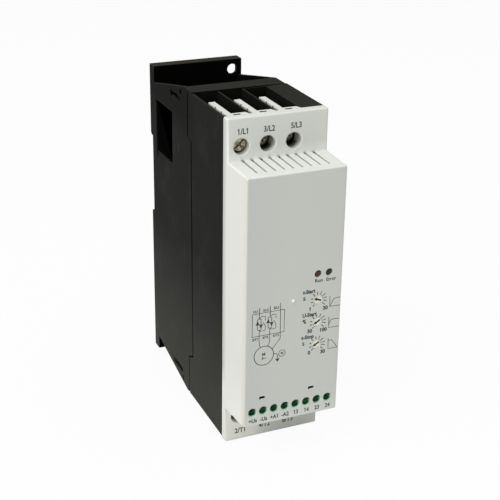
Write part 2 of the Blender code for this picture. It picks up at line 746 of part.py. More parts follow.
def snap_arms():
    """Arms with hooked noses that snap into the rear housing's windows."""
    inner = REAR_WALL + LIP_OFFSET
    root = SEAM_TOP_D - LIP_REACH / 2
    window_front, window_back = SNAP_WINDOW
    nose_front = window_front + FIT_GAP
    nose_back = window_back - SNAP_TAIL
    outline = [
        (inner, root),
        (inner, nose_front),
        (inner - SNAP_NOSE_DEPTH, nose_front),
        (inner - SNAP_NOSE_DEPTH, nose_front + (nose_back - nose_front) * 0.4),
        (inner, nose_back),
        (inner, nose_back + SNAP_ARM_SPARE),
        (inner + SNAP_ARM_THICKNESS, nose_back + SNAP_ARM_SPARE),
        (inner + SNAP_ARM_THICKNESS, root),
    ]
    bm = bmesh.new()
    for low_z, high_z in snap_heights():
        for side in (1, -1):
            plan = outline if side > 0 else [(WIDTH - u, d) for u, d in outline]
            add_prism(bm, plan, "z", low_z + FIT_GAP, high_z - FIT_GAP)
    return bm


def bar_front_d():
    """Front face of the straight part of each current bar, inside the clamp frames."""
    return FRAME_BACK - FRAME_WALL - FIT_GAP - BAR_STOCK


def rear_outline():
    """Side view of the rear housing with its mounting plate."""
    seam = seam_profile(SEAM_GAP)
    under_bar = HEIGHT - BAR_THICKNESS
    outline = [
        (TAPER_START, 0.0),
        (PLATE_FRONT, TAPER_DROP),
        (PLATE_FRONT, PLATE_BOTTOM),
        (DEPTH, PLATE_BOTTOM),
        (DEPTH, PLATE_TOP),
        (PLATE_FRONT, PLATE_TOP),
        (PLATE_FRONT, HEIGHT - TAPER_DROP),
        (TAPER_START, HEIGHT),
        (BAR_FRONT, HEIGHT),
        (BAR_FRONT, under_bar),
        (SEAM_TOP_D + SEAM_GAP, under_bar),
    ]
    return outline + list(reversed(seam))


def make_rear_housing():
    """Chimney for the heat sink: side walls with vents, cross walls, mounting plate and rail recess."""
    bm = bmesh.new()
    add_prism(bm, rear_outline(), "u", 0.0, WIDTH)
    housing = place("rear_housing", bm, paint("housing_black", (0.030, 0.032, 0.029), 0.5))

    inside_left = REAR_WALL
    inside_right = WIDTH - REAR_WALL
    chimney = bmesh.new()
    add_block(chimney, (inside_left, TAPER_START, -COVER_WALL),
              (inside_right, PLATE_FRONT, HEIGHT + COVER_WALL))
    cut(housing, chimney, "chimney")
    mouth = bmesh.new()
    add_block(mouth, (inside_left, SEAM_MIDDLE_BOTTOM_D - SEAM_GAP, CROSS_WALL_HEIGHT),
              (inside_right, TAPER_START + FIT_GAP, mirrored(CROSS_WALL_HEIGHT)))
    cut(housing, mouth, "mouth")
    cut(housing, vent_recesses(), "vent_recesses")
    cut(housing, vent_slots(), "vent_slots")
    cut(housing, snap_windows(), "snap_windows")
    cut(housing, rail_recess(), "rail_recess")
    cut(housing, latch_channel(), "latch_channel")

    holes = bmesh.new()
    plate_middle = (PLATE_BOTTOM + PLATE_TOP) / 2
    for u, z in ((PANEL_HOLE_U, PANEL_HOLE_Z), (WIDTH - PANEL_HOLE_U, 2 * plate_middle - PANEL_HOLE_Z)):
        hole = [(PLATE_FRONT - FIT_GAP, PANEL_HOLE_RADIUS), (DEPTH + FIT_GAP, PANEL_HOLE_RADIUS)]
        add_turned(holes, (u, 0.0, z), "d", hole, 20)
    cut(housing, holes, "panel_holes")
    join(housing, spring_post(), "spring_post")
    return housing


def side_u(depth_in, side):
    """u at a depth inside the left (side 1) or right (side -1) outer wall."""
    return depth_in if side > 0 else WIDTH - depth_in


def vent_recesses():
    """Shallow windows round the side vents, each with a sloping sill."""
    first = VENT_FIRST_D - VENT_SLOT_WIDTH / 2 - VENT_EDGE
    last = VENT_FIRST_D + (VENT_COUNT - 1) * VENT_PITCH + VENT_SLOT_WIDTH / 2 + VENT_EDGE
    low_z, high_z = VENT_Z
    bm = bmesh.new()
    for side in (1, -1):
        outline = [
            (side_u(-VENT_RECESS, side), low_z - VENT_SILL),
            (side_u(VENT_RECESS, side), low_z + VENT_SILL),
            (side_u(VENT_RECESS, side), high_z),
            (side_u(-VENT_RECESS, side), high_z),
        ]
        add_prism(bm, outline, "d", first, last)
    return bm


def vent_slots():
    bm = bmesh.new()
    low_z = VENT_Z[0] + VENT_SILL
    high_z = VENT_Z[1] - FIT_GAP
    half = VENT_SLOT_WIDTH / 2
    for index in range(VENT_COUNT):
        d = VENT_FIRST_D + index * VENT_PITCH
        add_block(bm, (-FIT_GAP, d - half, low_z), (REAR_WALL + FIT_GAP, d + half, high_z))
        add_block(bm, (WIDTH - REAR_WALL - FIT_GAP, d - half, low_z), (WIDTH + FIT_GAP, d + half, high_z))
    return bm


def snap_windows():
    """Windows and key slots for the snap arms, and the way in for the arms themselves."""
    bm = bmesh.new()
    key_near, key_far = SNAP_SLOT_FROM_END
    arm_clear = REAR_WALL + LIP_OFFSET + SNAP_ARM_THICKNESS + FIT_GAP
    for side in (1, -1):
        outer = side_u(-FIT_GAP, side)
        inner = side_u(REAR_WALL + FIT_GAP, side)
        low_u, high_u = sorted((outer, inner))
        for low_z, high_z in snap_heights():
            add_block(bm, (low_u, SNAP_WINDOW[0], low_z), (high_u, SNAP_WINDOW[1], high_z))
            way_u = sorted((side_u(REAR_WALL, side), side_u(arm_clear, side)))
            add_block(bm, (way_u[0], SEAM_MIDDLE_BOTTOM_D, low_z), (way_u[1], TAPER_START + FIT_GAP, high_z))
        for low_z, high_z in ((key_near, key_far), (mirrored(key_far), mirrored(key_near))):
            add_block(bm, (low_u, SNAP_SLOT_D[0], low_z), (high_u, SNAP_SLOT_D[1], high_z))
    return bm


def rail_floor():
    return DEPTH - RAIL_RECESS_DEPTH


def rail_recess():
    """Recess across the back for the rail, undercut at its top edge to hook over the rail."""
    low_z, high_z = RAIL_RECESS_Z
    floor = rail_floor()
    beyond = DEPTH + FIT_GAP
    hook_back = floor + RAIL_LIP_SPACE
    outline = [
        (floor, low_z),
        (beyond, low_z),
        (beyond, high_z + RAIL_RECESS_BEVEL),
        (DEPTH, high_z + RAIL_RECESS_BEVEL),
        (hook_back, high_z),
        (hook_back, high_z + RAIL_HOOK_RISE),
        (floor, high_z + RAIL_HOOK_RISE),
    ]
    bm = bmesh.new()
    add_prism(bm, outline, "u", -FIT_GAP, WIDTH + FIT_GAP)
    return bm


def latch_levels():
    """Front of the latch's wide flange, front of its neck and its back face."""
    back = DEPTH - FIT_GAP
    neck = rail_floor()
    return neck - LATCH_FLANGE, neck, back


def latch_channel():
    """T-shaped channel that the latch slides in, open at the foot of the plate."""
    flange, neck, _ = latch_levels()
    middle = WIDTH / 2
    wide = LATCH_HALF_WIDTH + FIT_GAP
    narrow = LATCH_NECK_HALF_WIDTH + FIT_GAP
    step = neck + FIT_GAP
    outline = [
        (middle - wide, flange - FIT_GAP),
        (middle + wide, flange - FIT_GAP),
        (middle + wide, step),
        (middle + narrow, step),
        (middle + narrow, DEPTH + FIT_GAP),
        (middle - narrow, DEPTH + FIT_GAP),
        (middle - narrow, step),
        (middle - wide, step),
    ]
    bm = bmesh.new()
    add_prism(bm, outline, "z", PLATE_BOTTOM - FIT_GAP, latch_top() + FIT_GAP)
    return bm


def latch_top():
    """Top of the latch's flange, just under the lower edge of the rail."""
    return rail_bottom() - FIT_GAP


def rail_bottom():
    return RAIL_RECESS_Z[1] + RAIL_HOOK_RISE - RAIL_HEIGHT - FIT_GAP


def spring_post():
    """Post in the channel that the latch's spring stands on."""
    flange, _, back = latch_levels()
    middle = WIDTH / 2
    half = SPRING_WINDOW_HALF_WIDTH - FIT_GAP
    low_z = SPRING_WINDOW[0] + FIT_GAP
    bm = bmesh.new()
    add_block(bm, (middle - half, flange - LATCH_FLANGE / 2, low_z),
              (middle + half, back - FIT_GAP, low_z + SPRING_POST_HEIGHT))
    return bm


def make_rail_latch():
    """Sliding latch whose beak holds the lower lip of the rail."""
    flange, neck, back = latch_levels()
    middle = WIDTH / 2
    rail = rail_bottom()
    beak_front = neck + RAIL_LIP_SPACE
    outline = [
        (flange, LATCH_BOTTOM),
        (back, LATCH_BOTTOM),
        (back, rail + LATCH_BEAK_RISE - RAIL_LIP_SPACE / 2),
        (beak_front, rail + LATCH_BEAK_RISE),
        (beak_front, rail - FIT_GAP),
        (flange, rail - FIT_GAP),
    ]
    bm = bmesh.new()
    add_prism(bm, outline, "u", middle - LATCH_NECK_HALF_WIDTH, middle + LATCH_NECK_HALF_WIDTH)
    origin = at(middle, back, LATCH_BOTTOM)
    latch = place("rail_latch", bm, paint("latch_black", (0.024, 0.025, 0.024), 0.45), origin)

    flanges = bmesh.new()
    add_block(flanges, (middle - LATCH_HALF_WIDTH, flange, LATCH_BOTTOM),
              (middle + LATCH_HALF_WIDTH, neck, latch_top()))
    join(latch, flanges, "flanges")

    openings = bmesh.new()
    beyond = DEPTH + FIT_GAP
    add_block(openings, (middle - SPRING_WINDOW_HALF_WIDTH, flange - FIT_GAP, SPRING_WINDOW[0]),
              (middle + SPRING_WINDOW_HALF_WIDTH, beyond, SPRING_WINDOW[1]))
    slot_width, slot_height = LATCH_SLOT
    slot_z = LATCH_BOTTOM + slot_height * 2
    add_block(openings, (middle - slot_width / 2, flange - FIT_GAP, slot_z),
              (middle + slot_width / 2, beyond, slot_z + slot_height))
    cut(latch, openings, "openings")
    return latch


def make_latch_spring():
    """Small steel coil between the post in the plate and the top of the latch's window."""
    flange, _, back = latch_levels()
    low_z = SPRING_WINDOW[0] + FIT_GAP + SPRING_POST_HEIGHT + FIT_GAP + SPRING_WIRE
    high_z = SPRING_WINDOW[1] - FIT_GAP - SPRING_WIRE
    centre_d = (flange + back) / 2
    steps = SPRING_TURNS * 10
    curve = bpy.data.curves.new("latch_spring", "CURVE")
    curve.dimensions = "3D"
    curve.bevel_depth = SPRING_WIRE
    curve.bevel_resolution = 1
    curve.use_fill_caps = True
    spline = curve.splines.new("POLY")
    spline.points.add(steps)
    for step in range(steps + 1):
        share = step / steps
        angle = 2 * math.pi * SPRING_TURNS * share
        point = at(WIDTH / 2 + SPRING_RADIUS * math.cos(angle), centre_d + SPRING_RADIUS * math.sin(angle),
                   low_z + (high_z - low_z) * share)
        spline.points[step].co = (*point, 1.0)
    spring = bpy.data.objects.new("latch_spring", curve)
    curve.materials.append(paint("spring_steel", (0.55, 0.55, 0.54), 0.3, 1.0))
    bpy.context.scene.collection.objects.link(spring)
    return spring


def terminal_places():
    """Name ending, u, z and screw insertion of every power terminal."""
    places = []
    for index, insertion in enumerate(TOP_SCREW_INSERTION):
        places.append(("l%d" % (index + 1), index, WELL_Z, insertion))
    for index, insertion in enumerate(BOTTOM_SCREW_INSERTION):
        places.append(("t%d" % (index + 1), index, mirrored(WELL_Z), insertion))
    return places


def make_power_terminal(ending, index, z, insertion):
    """A clamp frame, the saddle that presses the wire, and the screw that drives it."""
    u = well_u(index)
    left, right = chamber_u(index)
    steel = paint("plated_steel", (0.60, 0.59, 0.55), 0.3, 1.0)

    outline = [
        (left + FIT_GAP, FRAME_FRONT),
        (right - FIT_GAP, FRAME_FRONT),
        (right - FIT_GAP, FRAME_BACK),
        (left + FIT_GAP, FRAME_BACK),
    ]
    bm = bmesh.new()
    add_prism(bm, outline, "z", z - FRAME_HEIGHT / 2, z + FRAME_HEIGHT / 2)
    round_edges(bm, lambda edge: abs((edge.verts[0].co - edge.verts[1].co).z) > FIT_GAP, FRAME_WALL / 2, 1)
    frame = place("clamp_frame_" + ending, bm, steel)
    opening = bmesh.new()
    add_block(opening, (left + FIT_GAP + FRAME_WALL, FRAME_FRONT + FRAME_WALL, z - FRAME_HEIGHT),
              (right - FIT_GAP - FRAME_WALL, FRAME_BACK - FRAME_WALL, z + FRAME_HEIGHT))
    cut(frame, opening, "opening")
    thread = bmesh.new()
    thread_radius = SCREW_SHANK_RADIUS + FIT_GAP
    thread_profile = [(FRAME_FRONT - FIT_GAP, thread_radius), (FRAME_FRONT + FRAME_WALL + FIT_GAP, thread_radius)]
    add_turned(thread, (u, 0.0, z), "d", thread_profile, 16)
    cut(frame, thread, "thread")

    saddle_front = FRAME_FRONT + FRAME_WALL + FIT_GAP + insertion
    saddle_back = saddle_front + SADDLE_THICKNESS
    bm = bmesh.new()
    add_block(bm, (u - SADDLE_HALF_WIDTH, saddle_front, z - SADDLE_HALF_HEIGHT),
              (u + SADDLE_HALF_WIDTH, saddle_back, z + SADDLE_HALF_HEIGHT))
    saddle = place("saddle_" + ending, bm, steel, at(u, saddle_front, z))
    eye = bmesh.new()
    eye_profile = [(saddle_front - FIT_GAP, SCREW_NECK_RADIUS + FIT_GAP),
                   (saddle_back + FIT_GAP, SCREW_NECK_RADIUS + FIT_GAP)]
    add_turned(eye, (u, 0.0, z), "d", eye_profile, 12)
    cut(saddle, eye, "eye")

    head = SCREW_OPEN_D + insertion
    rivet = saddle_back + FIT_GAP
    profile = [
        (head, SCREW_HEAD_RADIUS * 0.86),
        (head + SCREW_HEAD_LENGTH * 0.25, SCREW_HEAD_RADIUS),
        (head + SCREW_HEAD_LENGTH, SCREW_HEAD_RADIUS),
        (head + SCREW_HEAD_LENGTH, SCREW_SHANK_RADIUS),
        (saddle_front - FIT_GAP, SCREW_SHANK_RADIUS),
        (saddle_front - FIT_GAP, SCREW_NECK_RADIUS),
        (rivet, SCREW_NECK_RADIUS),
        (rivet, SCREW_RIVET_RADIUS),
        (rivet + SCREW_RIVET_LENGTH, SCREW_RIVET_RADIUS),
    ]
    bm = bmesh.new()
    add_turned(bm, (u, 0.0, z), "d", profile, 16)
    screw = place("terminal_screw_" + ending, bm, steel, at(u, head, z))
    recess = bmesh.new()
    half = SCREW_RECESS_WIDTH / 2
    reach = SCREW_HEAD_RADIUS * 0.72
    cross = [
        (u - half, z - reach), (u + half, z - reach), (u + half, z - half), (u + reach, z - half),
        (u + reach, z + half), (u + half, z + half), (u + half, z + reach), (u - half, z + reach),
        (u - half, z + half), (u - reach, z + half), (u - reach, z - half), (u - half, z - half),
    ]
    add_prism(recess, cross, "d", head - FIT_GAP, head + SCREW_RECESS_DEPTH)
    cut(screw, recess, "recess")


def bent_bar_outline():
    """Side view of a bar from an upper terminal to the front of a power module."""
    front = bar_front_d()
    top = HEIGHT - BAR_END_FROM_EDGE
    run_top = HEIGHT - BAR_RUN_FROM_EDGE + BAR_STOCK
    run_low = run_top - BAR_STOCK
    leg_back = HEAT_SINK_FRONT - FIT_GAP - MODULE_SIZE[1] - FIT_GAP
    tail = MIDDLE_Z + BAR_TAIL_FROM_MIDDLE
    return [
        (front, top),
        (front + BAR_STOCK, top),
        (front + BAR_STOCK, run_top),
        (leg_back, run_top),
        (leg_back, tail),
        (leg_back - BAR_STOCK, tail),
        (leg_back - BAR_STOCK, run_low),
        (front, run_low),
    ]


def make_current_path():
    """Copper bars: bent ones for the switched phases and a straight one for the middle phase."""
    copper = paint("tinned_copper", (0.62, 0.50, 0.40), 0.35, 1.0)
    for index in (0, 2):
        u = well_u(index)
        for ending, flip in (("l", False), ("t", True)):
            outline = bent_bar_outline()
            if flip:
                outline = [(d, mirrored(z)) for d, z in outline]
            bm = bmesh.new()
            add_prism(bm, outline, "u", u - BAR_HALF_WIDTH, u + BAR_HALF_WIDTH)
            place("current_bar_%s%d" % (ending, index + 1), bm, copper)
    u = well_u(1)
    bm = bmesh.new()
    add_block(bm, (u - BAR_HALF_WIDTH, bar_front_d(), BAR_END_FROM_EDGE),
              (u + BAR_HALF_WIDTH, bar_front_d() + BAR_STOCK, HEIGHT - BAR_END_FROM_EDGE))
    place("current_bar_middle", bm, copper)


def make_power_stage():
    """Heat sink with its two power modules, the board in front of it and the bypass relays."""
    side = REAR_WALL + FIT_GAP
    base_back = HEAT_SINK_FRONT + HEAT_SINK_BASE
    aluminium = paint("heat_sink_aluminium", (0.35, 0.36, 0.37), 0.5, 1.0)
    bm = bmesh.new()
    outline = [(side, HEAT_SINK_FRONT), (WIDTH - side, HEAT_SINK_FRONT)]
    span = WIDTH - 2 * side - FIN_THICKNESS
    fin_back = PLATE_FRONT - FIT_GAP
    for index in reversed(range(FIN_COUNT)):
        left = side + span * index / (FIN_COUNT - 1)
        outline += [
            (left + FIN_THICKNESS, base_back if index < FIN_COUNT - 1 else fin_back),
            (left + FIN_THICKNESS, fin_back),
            (left, fin_back),
            (left, base_back),
        ]
    clean = []
    for point in outline:
        if not clean or (Vector(point) - Vector(clean[-1])).length > FIT_GAP / 10:
            clean.append(point)
    clean[-1] = (side, fin_back)
    add_prism(bm, clean, "z", HEAT_SINK_MARGIN, mirrored(HEAT_SINK_MARGIN))
    sink = place("heat_sink", bm, aluminium)
    slopes = bmesh.new()
    corner = (fin_back + FIT_GAP, mirrored(HEAT_SINK_MARGIN) + FIT_GAP)
    for flip in (False, True):
        wedge = [corner, (corner[0], corner[1] - FIN_TOP_DROP), (base_back + FIT_GAP, corner[1])]
        if flip:
            wedge = [(d, mirrored(z)) for d, z in wedge]
        add_prism(slopes, wedge, "u", 0.0, WIDTH)
    cut(sink, slopes, "sloped_fin_ends")

    width, thickness, height = MODULE_SIZE
    module_back = HEAT_SINK_FRONT - FIT_GAP
    for index, ending in enumerate(("1", "3")):
        left = MODULE_SIDE_SPACE + index * MODULE_PITCH
        bm = bmesh.new()
        add_block(bm, (left, module_back - thickness, MIDDLE_Z - height / 2),
                  (left + width, module_back, MIDDLE_Z + height / 2))
        round_edges(bm, is_outward, BAR_STOCK / 3, 1)
        place("thyristor_module_" + ending, bm, paint("module_epoxy", (0.05, 0.05, 0.055), 0.6))

    margin = HOUSING_SIDE_WALL + FIT_GAP
    bm = bmesh.new()
    add_block(bm, (margin, POWER_BOARD_D, POWER_BOARD_MARGIN),
              (WIDTH - margin, POWER_BOARD_D + BOARD_THICKNESS, mirrored(POWER_BOARD_MARGIN)))
    place("power_board", bm, paint("board_green", (0.03, 0.18, 0.08), 0.4))

    relay_back = POWER_BOARD_D - FIT_GAP
    first_left = HOUSING_SIDE_WALL + RELAY_SIDE_SPACE
    bar_space = BAR_HALF_WIDTH + RELAY_BAR_SPACE
    width = well_u(1) - bar_space - first_left
    for ending, left in (("1", first_left), ("3", well_u(1) + bar_space)):
        bm = bmesh.new()
        add_block(bm, (left, relay_back - RELAY_DEPTH, RELAY_BOTTOM_Z),
                  (left + width, relay_back, RELAY_BOTTOM_Z + RELAY_HEIGHT))
        round_edges(bm, is_outward, BAR_STOCK / 3, 1)
        place("bypass_relay_" + ending, bm, paint("relay_blue", (0.05, 0.12, 0.35), 0.45))


def make_control_board():
    """Board behind the panel, with the trimmer bodies and lamp sockets soldered on."""
    back = CONTROL_BOARD_D + BOARD_THICKNESS
    margin = COVER_SIDE_WALL + FIT_GAP
    low_z, high_z = CONTROL_BOARD_Z
    bm = bmesh.new()
    add_block(bm, (margin, CONTROL_BOARD_D, low_z), (WIDTH - margin, back, high_z))
    board = place("control_board", bm, paint("board_green", (0.03, 0.18, 0.08), 0.4))
    parts = bmesh.new()
    sockets = bmesh.new()
    half = TRIMMER_SIZE / 2
    inside = CONTROL_BOARD_D + BOARD_THICKNESS / 2
    for index in range(len(DIAL_POINTERS)):
        z = dial_z(index)
        add_block(parts, (DIAL_U - half, TRIMMER_FRONT, z - half), (DIAL_U + half, inside, z + half))
        clear = DIAL_STUB_RADIUS + FIT_GAP
        profile = [(TRIMMER_FRONT - FIT_GAP, clear), (TRIMMER_FRONT + TRIMMER_SOCKET_DEPTH, clear)]
        add_turned(sockets, (DIAL_U, 0.0, z), "d", profile, 12)
    for u in LAMP_U:
        base = LAMP_BACK + FIT_GAP
        add_turned(parts, (u, 0.0, LAMP_Z), "d", [(base, LAMP_RADIUS), (inside, LAMP_RADIUS)], 12)
    join(board, parts, "parts")
    cut(board, sockets, "sockets")


def make_control_terminals():
    """Green terminal block with a screw and a wire clamp in each of its cells."""
    low_u = control_u(0) - CELL_HALF_WIDTH
    high_u = control_u(CONTROL_COUNT - 1) + BLOCK_END_SPACE
    block_back = CONTROL_BOARD_D - FIT_GAP
    bm = bmesh.new()
    add_block(bm, (low_u, BLOCK_FRONT_D, BLOCK_BOTTOM_Z), (high_u, block_back, BLOCK_BOTTOM_Z + BLOCK_HEIGHT))
    green = paint("terminal_green", (0.02, 0.20, 0.08), 0.45)
    block = place("control_terminal_block", bm, green)
    cells = bmesh.new()
    bores = bmesh.new()
    steel = paint("plated_steel", (0.60, 0.59, 0.55), 0.3, 1.0)
    for index in range(CONTROL_COUNT):
        u = control_u(index)
        add_block(cells, (u - CELL_HALF_WIDTH, CELL_FRONT_D, BLOCK_BOTTOM_Z - FIT_GAP),
                  (u + CELL_HALF_WIDTH, block_back + FIT_GAP, CELL_TOP_Z))
        neck = CONTROL_SHANK_RADIUS + FIT_GAP
        shoulder = CONTROL_HEAD_FRONT + CONTROL_HEAD_LENGTH + FIT_GAP
        profile = [
            (BLOCK_FRONT_D - FIT_GAP, CONTROL_BORE_RADIUS),
            (shoulder, CONTROL_BORE_RADIUS),
            (shoulder, neck),
            (CELL_FRONT_D + FIT_GAP, neck),
        ]
        add_turned(bores, (u, 0.0, CONTROL_Z), "d", profile, 12)
        make_control_screw(index, u, steel)
        make_control_clamp(index, u, steel)
    cut(block, cells, "cells")
    cut(block, bores, "bores")


def make_control_screw(index, u, material):
    head_back = CONTROL_HEAD_FRONT + CONTROL_HEAD_LENGTH
    profile = [
        (CONTROL_HEAD_FRONT, CONTROL_HEAD_RADIUS),
        (head_back, CONTROL_HEAD_RADIUS),
        (head_back, CONTROL_SHANK_RADIUS),
        (CONTROL_SHANK_END, CONTROL_SHANK_RADIUS),
    ]
    bm = bmesh.new()
    add_turned(bm, (u, 0.0, CONTROL_Z), "d", profile, 12)
    name = "control_screw_%d" % (index + 1)
    screw = place(name, bm, material, at(u, CONTROL_HEAD_FRONT, CONTROL_Z))
    slot = bmesh.new()
    reach = CONTROL_HEAD_RADIUS + FIT_GAP
    half = CONTROL_SCREW_SLOT / 2
    add_block(slot, (u - half, CONTROL_HEAD_FRONT - FIT_GAP, CONTROL_Z - reach),
              (u + half, CONTROL_HEAD_FRONT + CONTROL_SCREW_SLOT, CONTROL_Z + reach))
    cut(screw, slot, "slot")


def make_control_clamp(index, u, material):
    """Rising cage that pulls the wire towards the front of the cell."""
    low_z = CONTROL_Z - CLAMP_HALF_HEIGHT
    high_z = CONTROL_Z + CLAMP_HALF_HEIGHT
    bm = bmesh.new()
    add_block(bm, (u - CLAMP_HALF_WIDTH, CLAMP_FRONT, low_z), (u + CLAMP_HALF_WIDTH, CLAMP_BACK, high_z))
    name = "control_clamp_%d" % (index + 1)
    clamp = place(name, bm, material, at(u, CLAMP_FRONT, CONTROL_Z))
    window = bmesh.new()
    inner = CLAMP_HALF_WIDTH - CLAMP_WALL
    add_block(window, (u - inner, CLAMP_FRONT + CLAMP_WALL, low_z - FIT_GAP),
              (u + inner, CLAMP_BACK - CLAMP_WALL / 2, high_z + FIT_GAP))
    cut(clamp, window, "window")
    thread = bmesh.new()
    clear = CONTROL_SHANK_RADIUS + FIT_GAP / 2
    profile = [(CLAMP_FRONT - FIT_GAP, clear), (CLAMP_FRONT + CLAMP_WALL + FIT_GAP / 2, clear)]
    add_turned(thread, (u, 0.0, CONTROL_Z), "d", profile, 10)
    cut(clamp, thread, "thread")


def make_dials():
    """Trimmer dials: a slotted disc on a stub that turns in the trimmer's body."""
    white = paint("dial_white", (0.75, 0.74, 0.68), 0.4)
    for index, pointer in enumerate(DIAL_POINTERS):
        z = dial_z(index)
        profile = [
            (DIAL_FRONT, DIAL_RADIUS - DIAL_FRONT / 2),
            (DIAL_FRONT + DIAL_FRONT / 2, DIAL_RADIUS),
            (DIAL_DISC_BACK, DIAL_RADIUS),
            (DIAL_DISC_BACK, DIAL_STUB_RADIUS),
            (DIAL_STUB_BACK, DIAL_STUB_RADIUS),
        ]
        bm = bmesh.new()
        add_turned(bm, (DIAL_U, 0.0, z), "d", profile, 20)
        origin = at(DIAL_U, DIAL_FRONT, z)
        dial = place("dial_%d" % (index + 1), bm, white, origin)
        slot = bmesh.new()
        half = DIAL_SLOT_WIDTH / 2
        reach = DIAL_SLOT_LENGTH / 2
        tip = reach * 0.55
        arrow = [(-half, -reach), (half, -reach), (half, tip), (half * 2.2, tip), (0.0, reach + half),
                 (-half * 2.2, tip), (-half, tip)]
        turn = math.radians(pointer)
        outline = []
        for across, up in arrow:
            turned_u = across * math.cos(turn) + up * math.sin(turn)
            turned_z = up * math.cos(turn) - across * math.sin(turn)
            outline.append((DIAL_U + turned_u, z + turned_z))
        add_prism(slot, outline, "d", 0.0, DIAL_FRONT + DIAL_SLOT_DEPTH)
        cut(dial, slot, "pointer")


def make_lamps():
    """Light pipes behind the two lamp windows."""
    smoke = paint("lamp_brown", (0.10, 0.05, 0.03), 0.2)
    for name, u in zip(("run_lamp", "error_lamp"), LAMP_U):
        profile = [
            (LAMP_FRONT, LAMP_RADIUS * 0.55),
            (LAMP_FRONT + LAMP_RADIUS * 0.2, LAMP_RADIUS * 0.87),
            (LAMP_FRONT + LAMP_RADIUS * 0.5, LAMP_RADIUS),
            (LAMP_BACK, LAMP_RADIUS),
        ]
        bm = bmesh.new()
        add_turned(bm, (u, 0.0, LAMP_Z), "d", profile, 12)
        place(name, bm, smoke, at(u, LAMP_FRONT, LAMP_Z))


def make_supply_and_link():
    """Encapsulated supply on the back of the control board, and the plug strip to the power board."""
    board_back = CONTROL_BOARD_D + BOARD_THICKNESS + FIT_GAP
    width, thickness, height = SUPPLY_SIZE
    bm = bmesh.new()
    add_block(bm, (SUPPLY_U, board_back, SUPPLY_Z), (SUPPLY_U + width, board_back + thickness, SUPPLY_Z + height))
    round_edges(bm, is_outward, BAR_STOCK / 2, 1)
    place("control_supply", bm, paint("supply_grey", (0.20, 0.20, 0.21), 0.6))
    width, height = LINK_SIZE
    bm = bmesh.new()
    add_block(bm, (LINK_U, board_back, LINK_Z), (LINK_U + width, POWER_BOARD_D - FIT_GAP, LINK_Z + height))
    place("board_link", bm, paint("link_black", (0.03, 0.03, 0.03), 0.5))


def main():
    for old in list(bpy.data.objects):
        bpy.data.objects.remove(old, do_unlink=True)
    make_front_cover()
    make_front_housing()
    make_rear_housing()
    make_rail_latch()
    make_latch_spring()
    for terminal in terminal_places():
        make_power_terminal(*terminal)
    make_current_path()
    make_power_stage()
    make_control_board()
    make_control_terminals()
    make_dials()
    make_lamps()
    make_supply_and_link()


main()
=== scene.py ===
import math

import bmesh
import bpy
from mathutils import Matrix, Vector


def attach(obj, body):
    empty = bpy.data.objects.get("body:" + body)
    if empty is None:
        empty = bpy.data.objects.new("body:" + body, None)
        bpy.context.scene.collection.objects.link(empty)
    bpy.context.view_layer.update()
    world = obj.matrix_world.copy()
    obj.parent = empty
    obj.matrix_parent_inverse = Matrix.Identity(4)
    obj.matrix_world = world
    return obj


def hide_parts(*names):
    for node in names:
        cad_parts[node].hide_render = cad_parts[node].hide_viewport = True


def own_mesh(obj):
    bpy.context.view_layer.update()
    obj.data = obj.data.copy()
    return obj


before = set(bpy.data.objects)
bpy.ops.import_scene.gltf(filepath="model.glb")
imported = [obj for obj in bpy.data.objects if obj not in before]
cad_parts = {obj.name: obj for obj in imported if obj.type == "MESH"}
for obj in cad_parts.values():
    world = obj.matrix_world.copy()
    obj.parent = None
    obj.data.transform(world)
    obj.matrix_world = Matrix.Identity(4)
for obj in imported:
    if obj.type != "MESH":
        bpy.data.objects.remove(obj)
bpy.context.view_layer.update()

UNIT = "unit"

# Sizes are in millimetres here. mm(), at(), along() and across_at() turn them to metres.
WIDTH = 44.0
MIDDLE_U = WIDTH / 2
DEPTH = 115.9
HEIGHT = 150.0
FACE_D = 19.3
WELL_U = (5.975, 17.625, 29.275)
WELL_Z = 137.9
SCREW_FRONT = 21.8
TOP_INSERTION = (0.4, 4.2, 4.7)
BOTTOM_INSERTION = (4.2, 4.6, 4.2)
CONTROL_PITCH = 5.08
CONTROL_U = [3.8 + CONTROL_PITCH * step for step in range(8)]
CONTROL_Z = 25.4
MOUTH_U = [u + 0.35 for u in CONTROL_U]
MOUTH_Z = 24.95
CONTROL_SLOT_TURN = (62, 40, 118, 20, 66, 128, 74, 112)
DIAL_U = 33.3
DIAL_Z = (73.3, 62.8, 52.3)
DIAL_TURN = (-71, -120, -120)
LAMP_U = (32.85, 37.95)
GROOVE_U = [5.9 + 4.0 * step for step in range(9)]
GUARD_U = (0.9, 12.3, 23.7)
LAMP_Z = 85.3
LEDGE_Z = 131.4
LEDGE_RISE = 0.4
GUARD_PITCH = 11.4
GUARD_NOTCH_D = (29.5, 36.1)
RELEASE_SLOT_Z = 31.5
PLATE_FRONT_D = 109.0
INK_RISE = 0.02


def mm(value):
    return value / 1000


def along(d):
    """The frame's Y at a depth from the front panel."""
    return mm(d - DEPTH / 2)


def across_at(u):
    """The frame's X at a distance from the left side."""
    return mm(u - MIDDLE_U)


def at(u, d, z):
    """A point of the frame: u from the left side, d from the front panel, z from the underside."""
    return Vector((across_at(u), along(d), mm(z)))


# Camera

camera_data = bpy.data.cameras.new("camera")
camera_data.sensor_width = 36
camera_data.lens = 82.548
camera_data.clip_start = 0.01
camera = bpy.data.objects.new("camera", camera_data)
camera.location = (-0.187637, -0.441086, 0.284197)
camera.rotation_euler = (math.radians(66.3477), math.radians(-0.7786), math.radians(-23.269))
bpy.context.scene.collection.objects.link(camera)
bpy.context.scene.camera = camera


# Shared shader effects

